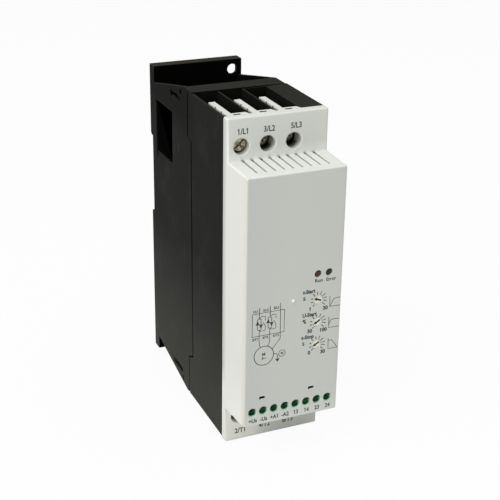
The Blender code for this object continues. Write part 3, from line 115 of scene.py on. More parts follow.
def new_effect(name, inputs, outputs):
    """An empty node group with its sockets."""
    tree = bpy.data.node_groups.new(name, "ShaderNodeTree")
    for label, kind, start in inputs:
        socket = tree.interface.new_socket(name=label, in_out="INPUT", socket_type=kind)
        socket.default_value = start
    for label, kind in outputs:
        tree.interface.new_socket(name=label, in_out="OUTPUT", socket_type=kind)
    entry = tree.nodes.new("NodeGroupInput")
    leave = tree.nodes.new("NodeGroupOutput")
    return tree, entry, leave


def link(tree, source, target):
    tree.links.new(source, target)


def feed(tree, value, socket):
    """Sets a socket to a number or a colour, or links it to another socket."""
    if isinstance(value, tuple):
        value = (*value, 1.0)
    if isinstance(value, (int, float, tuple)):
        socket.default_value = value
    else:
        link(tree, value, socket)


def maths(tree, operation, first, second=None):
    node = tree.nodes.new("ShaderNodeMath")
    node.operation = operation
    feed(tree, first, node.inputs[0])
    if second is not None:
        feed(tree, second, node.inputs[1])
    return node.outputs[0]


def spread(tree, value, low, high, out_low=0.0, out_high=1.0):
    """Maps low..high onto out_low..out_high and holds the ends."""
    node = tree.nodes.new("ShaderNodeMapRange")
    node.clamp = True
    link(tree, value, node.inputs["Value"])
    ends = {"From Min": low, "From Max": high, "To Min": out_low, "To Max": out_high}
    for label, number in ends.items():
        feed(tree, number, node.inputs[label])
    return node.outputs["Result"]


def place_vector(tree):
    return tree.nodes.new("ShaderNodeTexCoord").outputs["Object"]


def noise(tree, vector, scale, detail=2.0, rough=0.5):
    node = tree.nodes.new("ShaderNodeTexNoise")
    node.inputs["Detail"].default_value = detail
    node.inputs["Roughness"].default_value = rough
    feed(tree, scale, node.inputs["Scale"])
    link(tree, vector, node.inputs["Vector"])
    return node.outputs["Fac"]


def make_grain():
    """Fine moulded grain, with a slow mottle of the tone."""
    tree, entry, leave = new_effect("moulded_grain", [("Grain Scale", "NodeSocketFloat", 2500.0),
                                                      ("Mottle Scale", "NodeSocketFloat", 60.0)],
                                    [("Height", "NodeSocketFloat"), ("Mottle", "NodeSocketFloat")])
    where = place_vector(tree)
    fine = noise(tree, where, entry.outputs["Grain Scale"], 3.0, 0.6)
    slow = noise(tree, where, entry.outputs["Mottle Scale"], 3.0, 0.55)
    link(tree, fine, leave.inputs["Height"])
    link(tree, spread(tree, slow, 0.3, 0.7), leave.inputs["Mottle"])
    return tree


def make_scuffs():
    """Thin scratches and soft rubbed patches."""
    tree, entry, leave = new_effect("handling_scuffs", [("Scale", "NodeSocketFloat", 40.0)],
                                    [("Scratch", "NodeSocketFloat"), ("Rub", "NodeSocketFloat")])
    where = place_vector(tree)
    stretch = tree.nodes.new("ShaderNodeMapping")
    stretch.inputs["Rotation"].default_value = (0.7, 0.3, 0.2)
    stretch.inputs["Scale"].default_value = (9.0, 9.0, 0.55)
    link(tree, where, stretch.inputs["Vector"])
    lines = noise(tree, stretch.outputs["Vector"], entry.outputs["Scale"], 2.0, 0.6)
    patches = noise(tree, where, entry.outputs["Scale"], 4.0, 0.6)
    thin = spread(tree, lines, 0.7, 0.76)
    held = maths(tree, "MULTIPLY", thin, spread(tree, patches, 0.48, 0.62))
    link(tree, held, leave.inputs["Scratch"])
    link(tree, spread(tree, patches, 0.52, 0.75), leave.inputs["Rub"])
    return tree


def make_brushing():
    """Fine lines along one axis, for drawn, rolled or machined metal."""
    tree, entry, leave = new_effect("metal_lines", [("Stretch", "NodeSocketVector", (1.0, 1.0, 1.0)),
                                                    ("Scale", "NodeSocketFloat", 900.0),
                                                    ("Stain Scale", "NodeSocketFloat", 180.0)],
                                    [("Height", "NodeSocketFloat"), ("Tone", "NodeSocketFloat")])
    where = place_vector(tree)
    scaled = tree.nodes.new("ShaderNodeVectorMath")
    scaled.operation = "MULTIPLY"
    link(tree, where, scaled.inputs[0])
    link(tree, entry.outputs["Stretch"], scaled.inputs[1])
    lines = noise(tree, scaled.outputs["Vector"], entry.outputs["Scale"], 4.0, 0.6)
    stains = noise(tree, where, entry.outputs["Stain Scale"], 3.0, 0.6)
    link(tree, lines, leave.inputs["Height"])
    link(tree, spread(tree, stains, 0.35, 0.7), leave.inputs["Tone"])
    return tree


GRAIN = make_grain()
SCUFFS = make_scuffs()
BRUSHING = make_brushing()


def use(tree, effect, **values):
    node = tree.nodes.new("ShaderNodeGroup")
    node.node_tree = effect
    for label, value in values.items():
        node.inputs[label.replace("_", " ")].default_value = value
    return node


def blend_colour(tree, share, first, second):
    """Mixes two colours. Each is three numbers or a socket."""
    node = tree.nodes.new("ShaderNodeMix")
    node.data_type = "RGBA"
    for label, value in (("Factor", share), ("A", first), ("B", second)):
        feed(tree, value, node.inputs[label])
    return node.outputs["Result"]


def new_material(name, roughness, metallic=0.0, specular=0.5):
    material = bpy.data.materials.new(name)
    material.use_nodes = True
    shader = material.node_tree.nodes["Principled BSDF"]
    shader.inputs["Roughness"].default_value = roughness
    shader.inputs["Metallic"].default_value = metallic
    shader.inputs["Specular IOR Level"].default_value = specular
    return material, material.node_tree, shader


def add_bump(tree, shader, height, distance):
    bump = tree.nodes.new("ShaderNodeBump")
    bump.inputs["Strength"].default_value = 1.0
    bump.inputs["Distance"].default_value = distance
    link(tree, height, bump.inputs["Height"])
    link(tree, bump.outputs["Normal"], shader.inputs["Normal"])


def moulding(name, base, second, scuffed, roughness, specular=0.5, depth=0.00001,
             scratches=0.5, grain=2500.0, mottle=60.0):
    """Moulded plastic: two close tones, scratches, rubbed patches and a fine grain."""
    material, tree, shader = new_material(name, roughness, specular=specular)
    surface = use(tree, GRAIN, Grain_Scale=grain, Mottle_Scale=mottle)
    marks = use(tree, SCUFFS, Scale=45.0)
    tone = blend_colour(tree, surface.outputs["Mottle"], base, second)
    worn = maths(tree, "MULTIPLY", marks.outputs["Scratch"], scratches)
    tone = blend_colour(tree, worn, tone, scuffed)
    link(tree, tone, shader.inputs["Base Color"])
    rub = maths(tree, "MULTIPLY", marks.outputs["Rub"], 0.1)
    link(tree, maths(tree, "SUBTRACT", roughness, rub), shader.inputs["Roughness"])
    add_bump(tree, shader, surface.outputs["Height"], depth)
    return material


def metal(name, base, stained, roughness, stretch, scale, stain=180.0):
    """Metal with fine lines and a soft stain."""
    material, tree, shader = new_material(name, roughness, metallic=1.0)
    lines = use(tree, BRUSHING, Stretch=stretch, Scale=scale, Stain_Scale=stain)
    tone = blend_colour(tree, lines.outputs["Tone"], base, stained)
    link(tree, tone, shader.inputs["Base Color"])
    shade = maths(tree, "MULTIPLY", lines.outputs["Height"], 0.25)
    link(tree, maths(tree, "ADD", roughness - 0.12, shade), shader.inputs["Roughness"])
    add_bump(tree, shader, lines.outputs["Height"], 0.000004)
    return material


class Surface:
    """A moulding's material, with more tones laid over its base colour where a share says so."""

    def __init__(self, material):
        self.material = material
        self.tree = material.node_tree
        self.socket = self.tree.nodes["Principled BSDF"].inputs["Base Color"]
        self.tone = self.socket.links[0].from_socket
        self.place = self.axes("Object")
        self.lean = self.axes("Normal")

    def axes(self, socket_name):
        """The three numbers of a place or a direction on the piece."""
        split = self.tree.nodes.new("ShaderNodeSeparateXYZ")
        where = self.tree.nodes.new("ShaderNodeTexCoord")
        link(self.tree, where.outputs[socket_name], split.inputs["Vector"])
        return split.outputs

    def maths(self, operation, first, second=None):
        return maths(self.tree, operation, first, second)

    def less(self, value, limit):
        return self.maths("LESS_THAN", value, limit)

    def more(self, value, limit):
        return self.maths("GREATER_THAN", value, limit)

    def away(self, value, centre):
        return self.maths("ABSOLUTE", self.maths("SUBTRACT", value, centre))

    def near(self, value, centre, reach):
        return self.less(self.away(value, centre), reach)

    def rise(self, value, low, high):
        return spread(self.tree, value, low, high)

    def fall(self, value, low, high):
        return spread(self.tree, value, low, high, 1.0, 0.0)

    def both(self, *shares):
        """The place where all the shares hold."""
        result = shares[0]
        for share in shares[1:]:
            result = self.maths("MULTIPLY", result, share)
        return result

    def mix(self, share, first, second):
        return blend_colour(self.tree, share, first, second)

    def lay(self, share, colour):
        self.tone = self.mix(share, self.tone, colour)

    def done(self):
        link(self.tree, self.tone, self.socket)
        return self.material


def dark_grooves_and_drain_shade(paint):
    """Darker tone in the ledge's grooves, and black painted shade in the drains at their rear ends."""
    across, back, up = paint.place
    slope = paint.maths("MULTIPLY", paint.maths("ADD", back, mm(DEPTH / 2)), LEDGE_RISE / FACE_D)
    below = paint.maths("SUBTRACT", paint.maths("ADD", slope, mm(LEDGE_Z)), up)
    groove = paint.both(paint.rise(below, mm(0.06), mm(0.3)), paint.less(below, mm(2.2)),
                        paint.more(back, along(3.4)), paint.less(back, along(19.5)),
                        paint.near(across, 0.0, mm(20.4)))
    # Dark grey-brown in the grooves, turning to black painted shade in the drains at the rear.
    depth = paint.rise(back, along(17.6), along(18.2))
    paint.lay(groove, paint.mix(depth, (0.03, 0.027, 0.02), (0.002, 0.002, 0.0015)))


def green_mouths(paint):
    """Green light from the terminal block in the small holes over its screws."""
    across, back, up = paint.place
    pitch = mm(CONTROL_PITCH)
    hole = paint.maths("DIVIDE", paint.maths("SUBTRACT", across, across_at(MOUTH_U[0])), pitch)
    in_pitch = paint.maths("FRACT", paint.maths("ADD", hole, 0.5))
    sideways = paint.maths("MULTIPLY", paint.maths("SUBTRACT", in_pitch, 0.5), pitch)
    upwards = paint.maths("SUBTRACT", up, mm(MOUTH_Z))
    squares = paint.maths("ADD", paint.both(sideways, sideways), paint.both(upwards, upwards))
    mouth = paint.both(paint.less(paint.maths("SQRT", squares), mm(2.16)),
                       paint.near(across, 0.0, mm(21.0)), paint.less(back, along(5.0)))
    depth = paint.rise(back, along(0.75), along(0.95))
    paint.lay(mouth, paint.mix(depth, (0.46, 0.7, 0.53), (0.02, 0.17, 0.065)))


def painted_shade_in_openings(paint):
    """Painted shade: dark wells, slots of the finger guards, their notches, and the two release slots."""
    across, back, up = paint.place
    from_middle = paint.away(up, mm(HEIGHT / 2))
    well = WELL_Z - HEIGHT / 2
    # Painted shade deeper than 2 mm inside the upper and lower wells.
    in_well = paint.both(paint.rise(back, along(FACE_D + 2.0), along(FACE_D + 5.0)),
                         paint.less(from_middle, mm(well + 3.6)), paint.more(from_middle, mm(well - 4.0)))
    paint.lay(in_well, (0.06, 0.058, 0.042))
    at_ends = paint.more(from_middle, mm(72.0))
    # Painted shade in the slots of the finger guards' tabs.
    in_tab_slot = paint.both(paint.more(back, along(23.03)), paint.less(back, along(24.7)),
                             paint.less(from_middle, mm(74.85)), at_ends)
    paint.lay(in_tab_slot, (0.01, 0.01, 0.012))
    # Painted shade in the notches of the finger guards.
    from_wall = paint.maths("DIVIDE", paint.maths("SUBTRACT", across, across_at(1.15)), mm(GUARD_PITCH))
    notch_middle = along(sum(GUARD_NOTCH_D) / 2)
    notch_reach = mm((GUARD_NOTCH_D[1] - GUARD_NOTCH_D[0]) / 2)
    notched = paint.both(paint.less(paint.maths("FRACT", from_wall), 0.085), at_ends,
                         paint.near(paint.away(back, notch_middle), notch_reach, mm(0.65)))
    paint.lay(notched, (0.035, 0.034, 0.028))
    # Painted shade in the two release slots.
    in_release_slot = paint.both(paint.near(up, mm(RELEASE_SLOT_Z), mm(0.95)),
                                 paint.more(back, along(0.06)), paint.near(across, 0.0, mm(20.0)))
    paint.lay(in_release_slot, (0.02, 0.02, 0.016))


def painted_face_light(paint):
    """Painted light and shade: the small differences of tone between the cover's faces, as the photo shows
    them.
    """
    across, back, up = paint.place
    faces_front = paint.rise(paint.lean[1], -0.8, -0.98)
    in_front = paint.less(back, along(3.0))
    # Front faces of the panel: painted shade towards the left and painted light towards the bottom.
    panel = paint.mix(paint.rise(across, across_at(0.0), across_at(20.0)), (0.618, 0.644, 0.598),
                      (0.65, 0.672, 0.622))
    panel = paint.mix(paint.fall(up, mm(17.0), mm(27.0)), panel, (0.76, 0.778, 0.728))
    paint.lay(paint.both(faces_front, in_front), panel)
    # Painted light on the step's faces near the ledge and at their lower left.
    on_step = paint.both(faces_front, paint.maths("SUBTRACT", 1.0, in_front),
                         paint.less(back, along(FACE_D + 0.2)))
    near_ledge = paint.both(on_step, paint.fall(up, mm(131.5), mm(137.0)), paint.more(up, mm(100.0)))
    paint.lay(near_ledge, (0.9, 0.915, 0.86))
    lower_left = paint.both(on_step, paint.less(up, mm(20.0)),
                            paint.fall(across, across_at(12.0), across_at(22.0)))
    paint.lay(lower_left, (0.9, 0.89, 0.81))
    # Painted shade on the rim's upward faces.
    on_rim = paint.both(paint.rise(paint.lean[2], 0.8, 0.98), paint.more(up, mm(148.5)))
    paint.lay(on_rim, (0.675, 0.69, 0.645))
    # Sides: painted light paler towards the foot, and painted shade by the seam.
    side = paint.mix(paint.fall(up, mm(16.0), mm(48.0)), (0.705, 0.715, 0.658), (0.8, 0.812, 0.76))
    by_seam = paint.both(paint.rise(back, along(19.0), along(22.0)), paint.rise(up, mm(28.0), mm(38.0)))
    side = paint.mix(by_seam, side, (0.52, 0.53, 0.48))
    paint.lay(paint.rise(paint.lean[0], -0.8, -0.98), side)
    # Painted highlight, cream-tinted, along the front-left edge.
    painted_edge_highlight = paint.both(paint.fall(across, across_at(0.4), across_at(1.1)),
                            paint.fall(back, along(1.0), along(2.4)))
    paint.lay(painted_edge_highlight, (0.69, 0.675, 0.59))


def make_cover_material():
    """Light grey moulding with darker grooves, painted shade in the drains and openings, painted green
    light in the small holes, and painted light and shade that set its faces apart in tone.
    """
    paint = Surface(moulding("cover_grey", (0.735, 0.755, 0.7), (0.71, 0.73, 0.682), (0.6, 0.6, 0.54),
                             0.47, specular=0.4, depth=0.000008, scratches=0.12, grain=2600.0, mottle=55.0))
    dark_grooves_and_drain_shade(paint)
    green_mouths(paint)
    painted_shade_in_openings(paint)
    painted_face_light(paint)
    return paint.done()


COVER = make_cover_material()


def make_housing_material(name, lift, roughness, specular):
    """Matt black moulding with painted light and shade: paler towards its foot as a painted floor
    reflection, paler on upward faces as painted top light with a dusty tint, and painted shade high at the
    rear and on the plate's front faces. Lift brightens its lit tones.
    """
    paint = Surface(moulding(name, (0.008, 0.0083, 0.0068), (0.0102, 0.0105, 0.009),
                             (0.085, 0.085, 0.078), roughness, specular=specular, depth=0.000012,
                             scratches=0.55, grain=2200.0, mottle=45.0))
    back, up = paint.place[1:3]

    def lifted(*colour):
        return tuple(number * lift for number in colour)

    # Painted reflection of the pale floor: paler towards the foot.
    paint.lay(paint.fall(up, mm(6.0), mm(75.0)), lifted(0.047, 0.048, 0.041))
    # Painted top light with a dusty tint on upward faces, stronger to the rear.
    top_light_and_dust = paint.mix(paint.rise(back, along(70.0), along(100.0)), lifted(0.02, 0.02, 0.016),
                     lifted(0.029, 0.025, 0.018))
    paint.lay(paint.rise(paint.lean[2], 0.75, 0.95), top_light_and_dust)
    # Painted shade on the faces high at the rear.
    dark_top = paint.both(paint.rise(up, mm(126.0), mm(138.0)),
                          paint.rise(back, along(56.0), along(68.0)), paint.rise(paint.lean[2], 0.5, 0.2))
    paint.lay(dark_top, lifted(0.0032, 0.0034, 0.0028))
    # Painted shade on the plate's front faces.
    plate = paint.both(paint.rise(paint.lean[1], -0.85, -0.95), paint.more(back, along(PLATE_FRONT_D)))
    paint.lay(plate, (0.0012, 0.0012, 0.001))
    return paint.done()


BLACK = make_housing_material("housing_black", 1.0, 0.55, 0.03)
# A brighter copy of the housing black for the rounded edges: painted highlight.
BLACK_EDGE_HIGHLIGHT = make_housing_material("housing_edge_highlight", 1.3, 0.45, 0.12)
# A darker black for the vents' recess and ribs: painted shade.
VENT_SHADE_BLACK = moulding("vent_black_painted_shade", (0.0022, 0.0023, 0.002), (0.003, 0.0031, 0.0028), (0.01, 0.01, 0.009),
                      0.7, specular=0.0, depth=0.000008)
LATCH_BLACK = moulding("latch_black", (0.01, 0.01, 0.01), (0.014, 0.014, 0.013), (0.06, 0.06, 0.055), 0.36,
                       depth=0.000006)
GREEN = moulding("terminal_green", (0.01, 0.14, 0.048), (0.014, 0.165, 0.06), (0.16, 0.42, 0.24), 0.34,
                 depth=0.000006, scratches=0.2)
RUN_LAMP = moulding("run_lamp_brown", (0.07, 0.032, 0.017), (0.085, 0.04, 0.022), (0.16, 0.1, 0.06), 0.3,
                    specular=0.25, depth=0.000001, scratches=0.05)
ERROR_LAMP = moulding("error_lamp_olive", (0.03, 0.025, 0.012), (0.038, 0.031, 0.016), (0.1, 0.09, 0.06),
                      0.3, specular=0.25, depth=0.000001, scratches=0.05)
DIAL = moulding("dial_cream", (0.86, 0.85, 0.76), (0.89, 0.88, 0.79), (0.62, 0.58, 0.46), 0.36,
                depth=0.000004, scratches=0.3)
# Dark brown for the floor and lower walls of the dials' slots.
DIAL_SLOT = moulding("dial_slot_dark", (0.115, 0.1, 0.066), (0.15, 0.132, 0.09), (0.25, 0.23, 0.17), 0.8,
                     depth=0.000004, scratches=0.2)
# A paler white for the raised dot: painted highlight.
DOT_HIGHLIGHT = moulding("moulding_dot_highlight", (0.93, 0.94, 0.92), (0.9, 0.91, 0.89), (0.8, 0.8, 0.78), 0.35,
               depth=0.000001, scratches=0.05)
INK = moulding("print_grey", (0.026, 0.032, 0.031), (0.036, 0.044, 0.041), (0.26, 0.27, 0.25), 0.55,
               depth=0.000001, scratches=0.2)
PALE_INK = moulding("print_pale", (0.055, 0.064, 0.06), (0.07, 0.08, 0.075), (0.35, 0.36, 0.34), 0.55,
                    depth=0.000001, scratches=0.2)
BOARD = moulding("board_green", (0.01, 0.08, 0.03), (0.014, 0.105, 0.04), (0.05, 0.16, 0.08), 0.3,
                 depth=0.000003, scratches=0.1, mottle=400.0)
RESIN = moulding("module_resin", (0.018, 0.018, 0.02), (0.024, 0.024, 0.026), (0.06, 0.06, 0.06), 0.55)
RELAY = moulding("relay_blue", (0.012, 0.035, 0.15), (0.015, 0.042, 0.175), (0.1, 0.14, 0.25), 0.35,
                 depth=0.000004, scratches=0.15)
SUPPLY = moulding("supply_grey", (0.11, 0.112, 0.116), (0.13, 0.132, 0.136), (0.2, 0.2, 0.2), 0.5)
LINK = moulding("link_black", (0.012, 0.012, 0.012), (0.016, 0.016, 0.016), (0.05, 0.05, 0.05), 0.45,
                depth=0.000004)
BRASS_ZINC = metal("yellow_zinc", (0.72, 0.68, 0.52), (0.09, 0.078, 0.04), 0.32, (1.0, 1.0, 1.0), 1500.0,
                   stain=620.0)
ZINC = metal("plated_steel", (0.62, 0.61, 0.58), (0.48, 0.47, 0.43), 0.32, (1.0, 1.0, 6.0), 700.0)
COPPER = metal("tinned_copper", (0.66, 0.6, 0.52), (0.6, 0.47, 0.36), 0.36, (6.0, 6.0, 0.4), 600.0)
ALUMINIUM = metal("heat_sink_aluminium", (0.03, 0.03, 0.031), (0.02, 0.02, 0.021), 0.6,
                  (8.0, 8.0, 0.25), 500.0)
SPRING = metal("spring_steel", (0.56, 0.56, 0.55), (0.44, 0.44, 0.43), 0.28, (1.0, 1.0, 1.0), 1200.0)


# Modelling helpers

def clear_selection():
    if bpy.context.object and bpy.context.object.mode != "OBJECT":
        bpy.ops.object.mode_set(mode="OBJECT")
    bpy.ops.object.select_all(action="DESELECT")


def hold(piece):
    """Only this piece is selected and active."""
    clear_selection()
    piece.select_set(True)
    bpy.context.view_layer.objects.active = piece


def open_mesh(piece):
    """Starts edit mode with nothing selected."""
    hold(piece)
    bpy.ops.object.mode_set(mode="EDIT")
    bpy.ops.mesh.select_mode(type="FACE")
    bpy.ops.mesh.select_all(action="DESELECT")


def close_mesh():
    bpy.ops.object.mode_set(mode="OBJECT")


def pick_faces(piece, wanted):
    """Selects the faces that wanted(centre, normal) accepts, in edit mode."""
    bpy.ops.mesh.select_mode(type="FACE")
    bpy.ops.mesh.select_all(action="DESELECT")
    bm = bmesh.from_edit_mesh(piece.data)
    for face in bm.faces:
        if wanted(face.calc_center_median(), face.normal):
            face.select = True
    bm.select_flush_mode()
    bmesh.update_edit_mesh(piece.data)


def turned_to_front(place, turn=0.0):
    """Lays a piece that was modelled along +Z so that its top faces -Y, at a place."""
    upright = Matrix.Rotation(math.radians(90), 4, "X")
    return Matrix.Translation(place) @ upright @ Matrix.Rotation(turn, 4, "Z")


def copy_of(master, name, matrix):
    mesh = master.data.copy()
    mesh.transform(matrix)
    mesh.name = name
    piece = bpy.data.objects.new(name, mesh)
    bpy.context.scene.collection.objects.link(piece)
    return piece


def smooth(piece, angle=35):
    hold(piece)
    bpy.ops.object.shade_smooth_by_angle(angle=math.radians(angle))


def apply_step(piece, step):
    hold(piece)
    bpy.ops.object.modifier_apply(modifier=step.name)


def carve(piece, cutter):
    """Cuts another piece out of a piece, and removes the cutter."""
    step = piece.modifiers.new("carve", "BOOLEAN")
    step.operation = "DIFFERENCE"
    step.solver = "EXACT"
    step.object = cutter
    apply_step(piece, step)
    mesh = cutter.data
    bpy.data.objects.remove(cutter)
    bpy.data.meshes.remove(mesh)


def block(name, low, high):
    """A box between two corners in millimetres, with its place in its mesh."""
    clear_selection()
    middle = [mm(a + b) / 2 for a, b in zip(low, high)]
    bpy.ops.mesh.primitive_cube_add(size=1.0, location=(0, 0, 0))
    piece = bpy.context.object
    piece.name = name
    size = [mm(abs(b - a)) for a, b in zip(low, high)]
    piece.data.transform(Matrix.Translation(middle) @ Matrix.Diagonal((*size, 1.0)))
    return piece


def join(pieces, name):
    """Makes one piece of several. The first stays."""
    clear_selection()
    for piece in pieces:
        piece.select_set(True)
    bpy.context.view_layer.objects.active = pieces[0]
    if len(pieces) > 1:
        bpy.ops.object.join()
    pieces[0].name = name
    return pieces[0]


def round_bar(name, radius, length, top=0.0, sides=32):
    """A cylinder along +Z with its upper end at a height. Lengths in millimetres."""
    clear_selection()
    bpy.ops.mesh.primitive_cylinder_add(vertices=sides, radius=mm(radius), depth=mm(length))
    piece = bpy.context.object
    piece.name = name
    piece.data.transform(Matrix.Translation((0, 0, mm(top - length / 2))))
    return piece


def extrude(rise):
    bpy.ops.mesh.extrude_region_move(TRANSFORM_OT_translate={"value": (0, 0, mm(rise))})


def widen(share):
    bpy.ops.transform.resize(value=(share, share, 1))


def round_rim(piece, height, width, segments):
    """Rounds the rim of an end that lies at a height, in edit mode."""
    bpy.ops.mesh.select_mode(type="EDGE")
    bpy.ops.mesh.select_all(action="DESELECT")
    bm = bmesh.from_edit_mesh(piece.data)
    for edge in bm.edges:
        if all(abs(vert.co.z - mm(height)) < mm(0.01) for vert in edge.verts):
            edge.select = True
    bm.select_flush_mode()
    bmesh.update_edit_mesh(piece.data)
    bpy.ops.mesh.bevel(offset=mm(width), segments=segments, affect="EDGES")


def draw_dome(piece, steps):
    """Draws a dome out of the upper end. Each step is (rise in millimetres, share of the width)."""
    open_mesh(piece)
    pick_faces(piece, lambda centre, normal: normal.z > 0.9)
    for rise, share in steps:
        extrude(rise)
        widen(share)
    close_mesh()


def dress(piece, body, materials, stands_for=None):
    """Gives a piece its materials and its body. Faces keep their material numbers."""
    slots = piece.data.materials
    for index, material in enumerate(materials):
        if index < len(slots):
            slots[index] = material
        else:
            slots.append(material)
    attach(piece, body)
    if stands_for:
        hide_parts(stands_for)


# Housings and other mouldings, with their edges rounded

def rounded_copy(node, name, body, materials, width, shortest=1.0, segments=2,
                 stays_sharp=None, fitted=None, cuts=(), third=None, planes=()):
    """A copy of a CAD node whose longer sharp edges are rounded, apart from those that stay sharp.

    fitted(u, d, z) gives the new place of a point in millimetres. cuts holds blocks that are carved out.
    third(u, d, z) tells which faces take the third material. planes holds the depths of flat walls
    whose holes have moved, so that they are filled anew.
    """
    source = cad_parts[node]
    piece = bpy.data.objects.new(name, source.data.copy())
    bpy.context.scene.collection.objects.link(piece)
    piece.data.materials.clear()
    open_mesh(piece)
    bpy.ops.mesh.select_all(action="SELECT")
    bpy.ops.mesh.remove_doubles(threshold=0.000002)
    bpy.ops.mesh.dissolve_limited(angle_limit=math.radians(0.6))
    close_mesh()
    if fitted:
        for vert in piece.data.vertices:
            u, d, z = (value * 1000 for value in vert.co)
            vert.co = at(*fitted(u + MIDDLE_U, d + DEPTH / 2, z))
        open_mesh(piece)
        for plane in planes:
            pick_faces(piece, lambda centre, normal: (
                abs(normal.y) > 0.99 and abs(centre.y - along(plane)) < mm(0.02)))
            bpy.ops.mesh.delete(type="FACE")
            bpy.ops.mesh.select_mode(type="EDGE")
            bpy.ops.mesh.select_non_manifold()
            bpy.ops.mesh.fill(use_beauty=True)
        bpy.ops.mesh.select_all(action="SELECT")
        bpy.ops.mesh.normals_make_consistent(inside=False)
        bpy.ops.mesh.dissolve_limited(angle_limit=math.radians(0.6))
        close_mesh()
    for low, high in cuts:
        cutter = block("cut", low, high)
        cutter.data.transform(Matrix.Translation(at(0, 0, 0)))
        carve(piece, cutter)
    bm = bmesh.new()
    bm.from_mesh(piece.data)
    weights = bm.edges.layers.float.new("bevel_weight_edge")
    for edge in bm.edges:
        if len(edge.link_faces) != 2:
            continue
        if stays_sharp and stays_sharp((edge.verts[0].co + edge.verts[1].co) / 2):
            continue
        sharp = math.radians(38) < edge.calc_face_angle(0.0) < math.radians(170)
        thin = min(face.calc_area() for face in edge.link_faces) < mm(0.001) * mm(1)
        if sharp and not thin and edge.calc_length() > mm(shortest):
            edge[weights] = 1.0
    bm.to_mesh(piece.data)
    bm.free()
    step = piece.modifiers.new("round", "BEVEL")
    step.limit_method = "WEIGHT"
    step.width = mm(width)
    step.segments = segments
    step.use_clamp_overlap = False
    # The rounded faces take the second material: for the black housings, the brighter copy that paints a
    # highlight along the edges.
    step.material = 1 if len(materials) > 1 else -1
    step.miter_outer = "MITER_ARC"
    for material in materials:
        piece.data.materials.append(material)
    apply_step(piece, step)
    if third:
        for face in piece.data.polygons:
            u, d, z = (value * 1000 for value in face.center)
            if third(u + MIDDLE_U, d + DEPTH / 2, z):
                face.material_index = 2
    even = piece.modifiers.new("even", "WEIGHTED_NORMAL")
    even.keep_sharp = True
    smooth(piece, 38)
    apply_step(piece, even)
    dress(piece, body, materials, node)
    return piece


PROUD_LEFT = 0.5
PROUD_RIGHT = 0.8
DRAFT = math.tan(math.radians(1.1))


def in_finger_guards(middle):
    """The thin tabs and tongues over the wire chambers, behind the rim."""
    return middle.y > along(21.5)


def grow_hole(u, z, centre, new_centre, reach, share):
    """Widens and moves a round hole. Points within reach of its old centre move with it."""
    if math.hypot(u - centre[0], z - centre[1]) > reach:
        return u, z
    return new_centre[0] + (u - centre[0]) * share, new_centre[1] + (z - centre[1]) * share


def fit_cover(u, d, z):
    """The cover stands a little proud of the housing, narrows to the front, and has larger holes."""
    # Holes and slots of the panel
    if d < 4.0:
        for hole_u, mouth_u in zip(CONTROL_U, MOUTH_U):
            u, z = grow_hole(u, z, (hole_u, CONTROL_Z), (mouth_u, MOUTH_Z), 2.2, 1.1)
        for dial_z in DIAL_Z:
            u, z = grow_hole(u, z, (DIAL_U, dial_z), (DIAL_U, dial_z), 2.2, 1.18)
        for lamp_u in LAMP_U:
            u, z = grow_hole(u, z, (lamp_u - 0.15, LAMP_Z), (lamp_u, LAMP_Z), 1.8, 1.1)
        for slot_u, shift in ((8.4, 0.1), (31.3, 0.22)):
            if abs(u - slot_u) < 1.6 and abs(z - 31.7) < 0.8:
                u += shift
    # Grooves of the ledge, with their drains
    if 3.0 < d < 19.4 and 128.5 < z < 132.0:
        for groove_u in GROOVE_U:
            if abs(u - groove_u) < 0.8:
                wider = 1.6 if abs(u - groove_u) < 0.45 else 1.0
                u = groove_u + (u - groove_u) * wider + 0.5 - 0.25 * (groove_u - GROOVE_U[0]) / 32.0
                d -= 0.4 if d < 6.0 else 0.0
                break
    # Slopes over and under the panel's block
    if d < 19.25 and 129.9 < z < 132.0:
        z += 0.3 * (1 - d / FACE_D)
    if d < 19.25 and 16.0 < z < 20.2:
        z -= 0.8 * (1 - d / FACE_D)
    # Slots and notches of the finger guards
    if abs(z - HEIGHT / 2) > 70.0:
        for guard_u in GUARD_U:
            if 22.9 < d < 24.2 and 2.0 < u - guard_u < 9.0:
                u -= 0.3
            if 24.1 < d < 24.2 and 2.0 < u - guard_u < 9.0:
                d += 0.5
            elif 25.9 < d < 26.1 and abs(u - guard_u - 8.2) < 0.3:
                u += 0.95
            elif 23.7 < d < 23.9 and abs(u - guard_u - 10.4) < 0.2:
                d += 0.95
    # Mouths of the upper wells, and the bottom edge
    for well_u in WELL_U:
        if d > 19.0 and math.hypot(u - well_u, z - WELL_Z) < 3.6:
            z -= 0.35
    if z < 0.6 and d < 30.0:
        z -= 0.35
    # Sides, proud of the housing
    if d < 23.1:
        narrowing = (23.0 - d) * DRAFT
        if u < 1.05:
            u -= PROUD_LEFT - narrowing
        elif u > WIDTH - 1.05:
            u += PROUD_RIGHT - narrowing
    return u, d, z


def fit_front_frame(u, d, z):
    """The chambers reach the rear bar, and the blank strip lies level with it."""
    if 58.5 < d < 58.7:
        d += 0.95
    if u > 35.0 and z > 149.3:
        z += 0.45
    if u > 35.0 and 59.5 < d < 59.7:
        d += 0.25
    if u > WIDTH - 0.1:
        u += 0.25
    return u, d, lower_jog(d, z)


def lower_jog(d, z):
    """The foot of the step in the seam lies lower than in the solids."""
    if 59.0 < d < 67.0 and 21.8 < z < 23.3:
        return z - 0.95
    if 59.0 < d < 67.0 and 18.9 < z < 20.1:
        return z - 0.2
    return z


def fit_rear_frame(u, d, z):
    """The seam opens a little more to the rear, and the right side stands back."""
    z = lower_jog(d, z)
    if 61.2 < d < 61.8 or 65.6 < d < 66.2:
        d += 0.5
    if u > WIDTH - 0.1 and d < 109.0:
        u -= 0.5
    return u, d, z


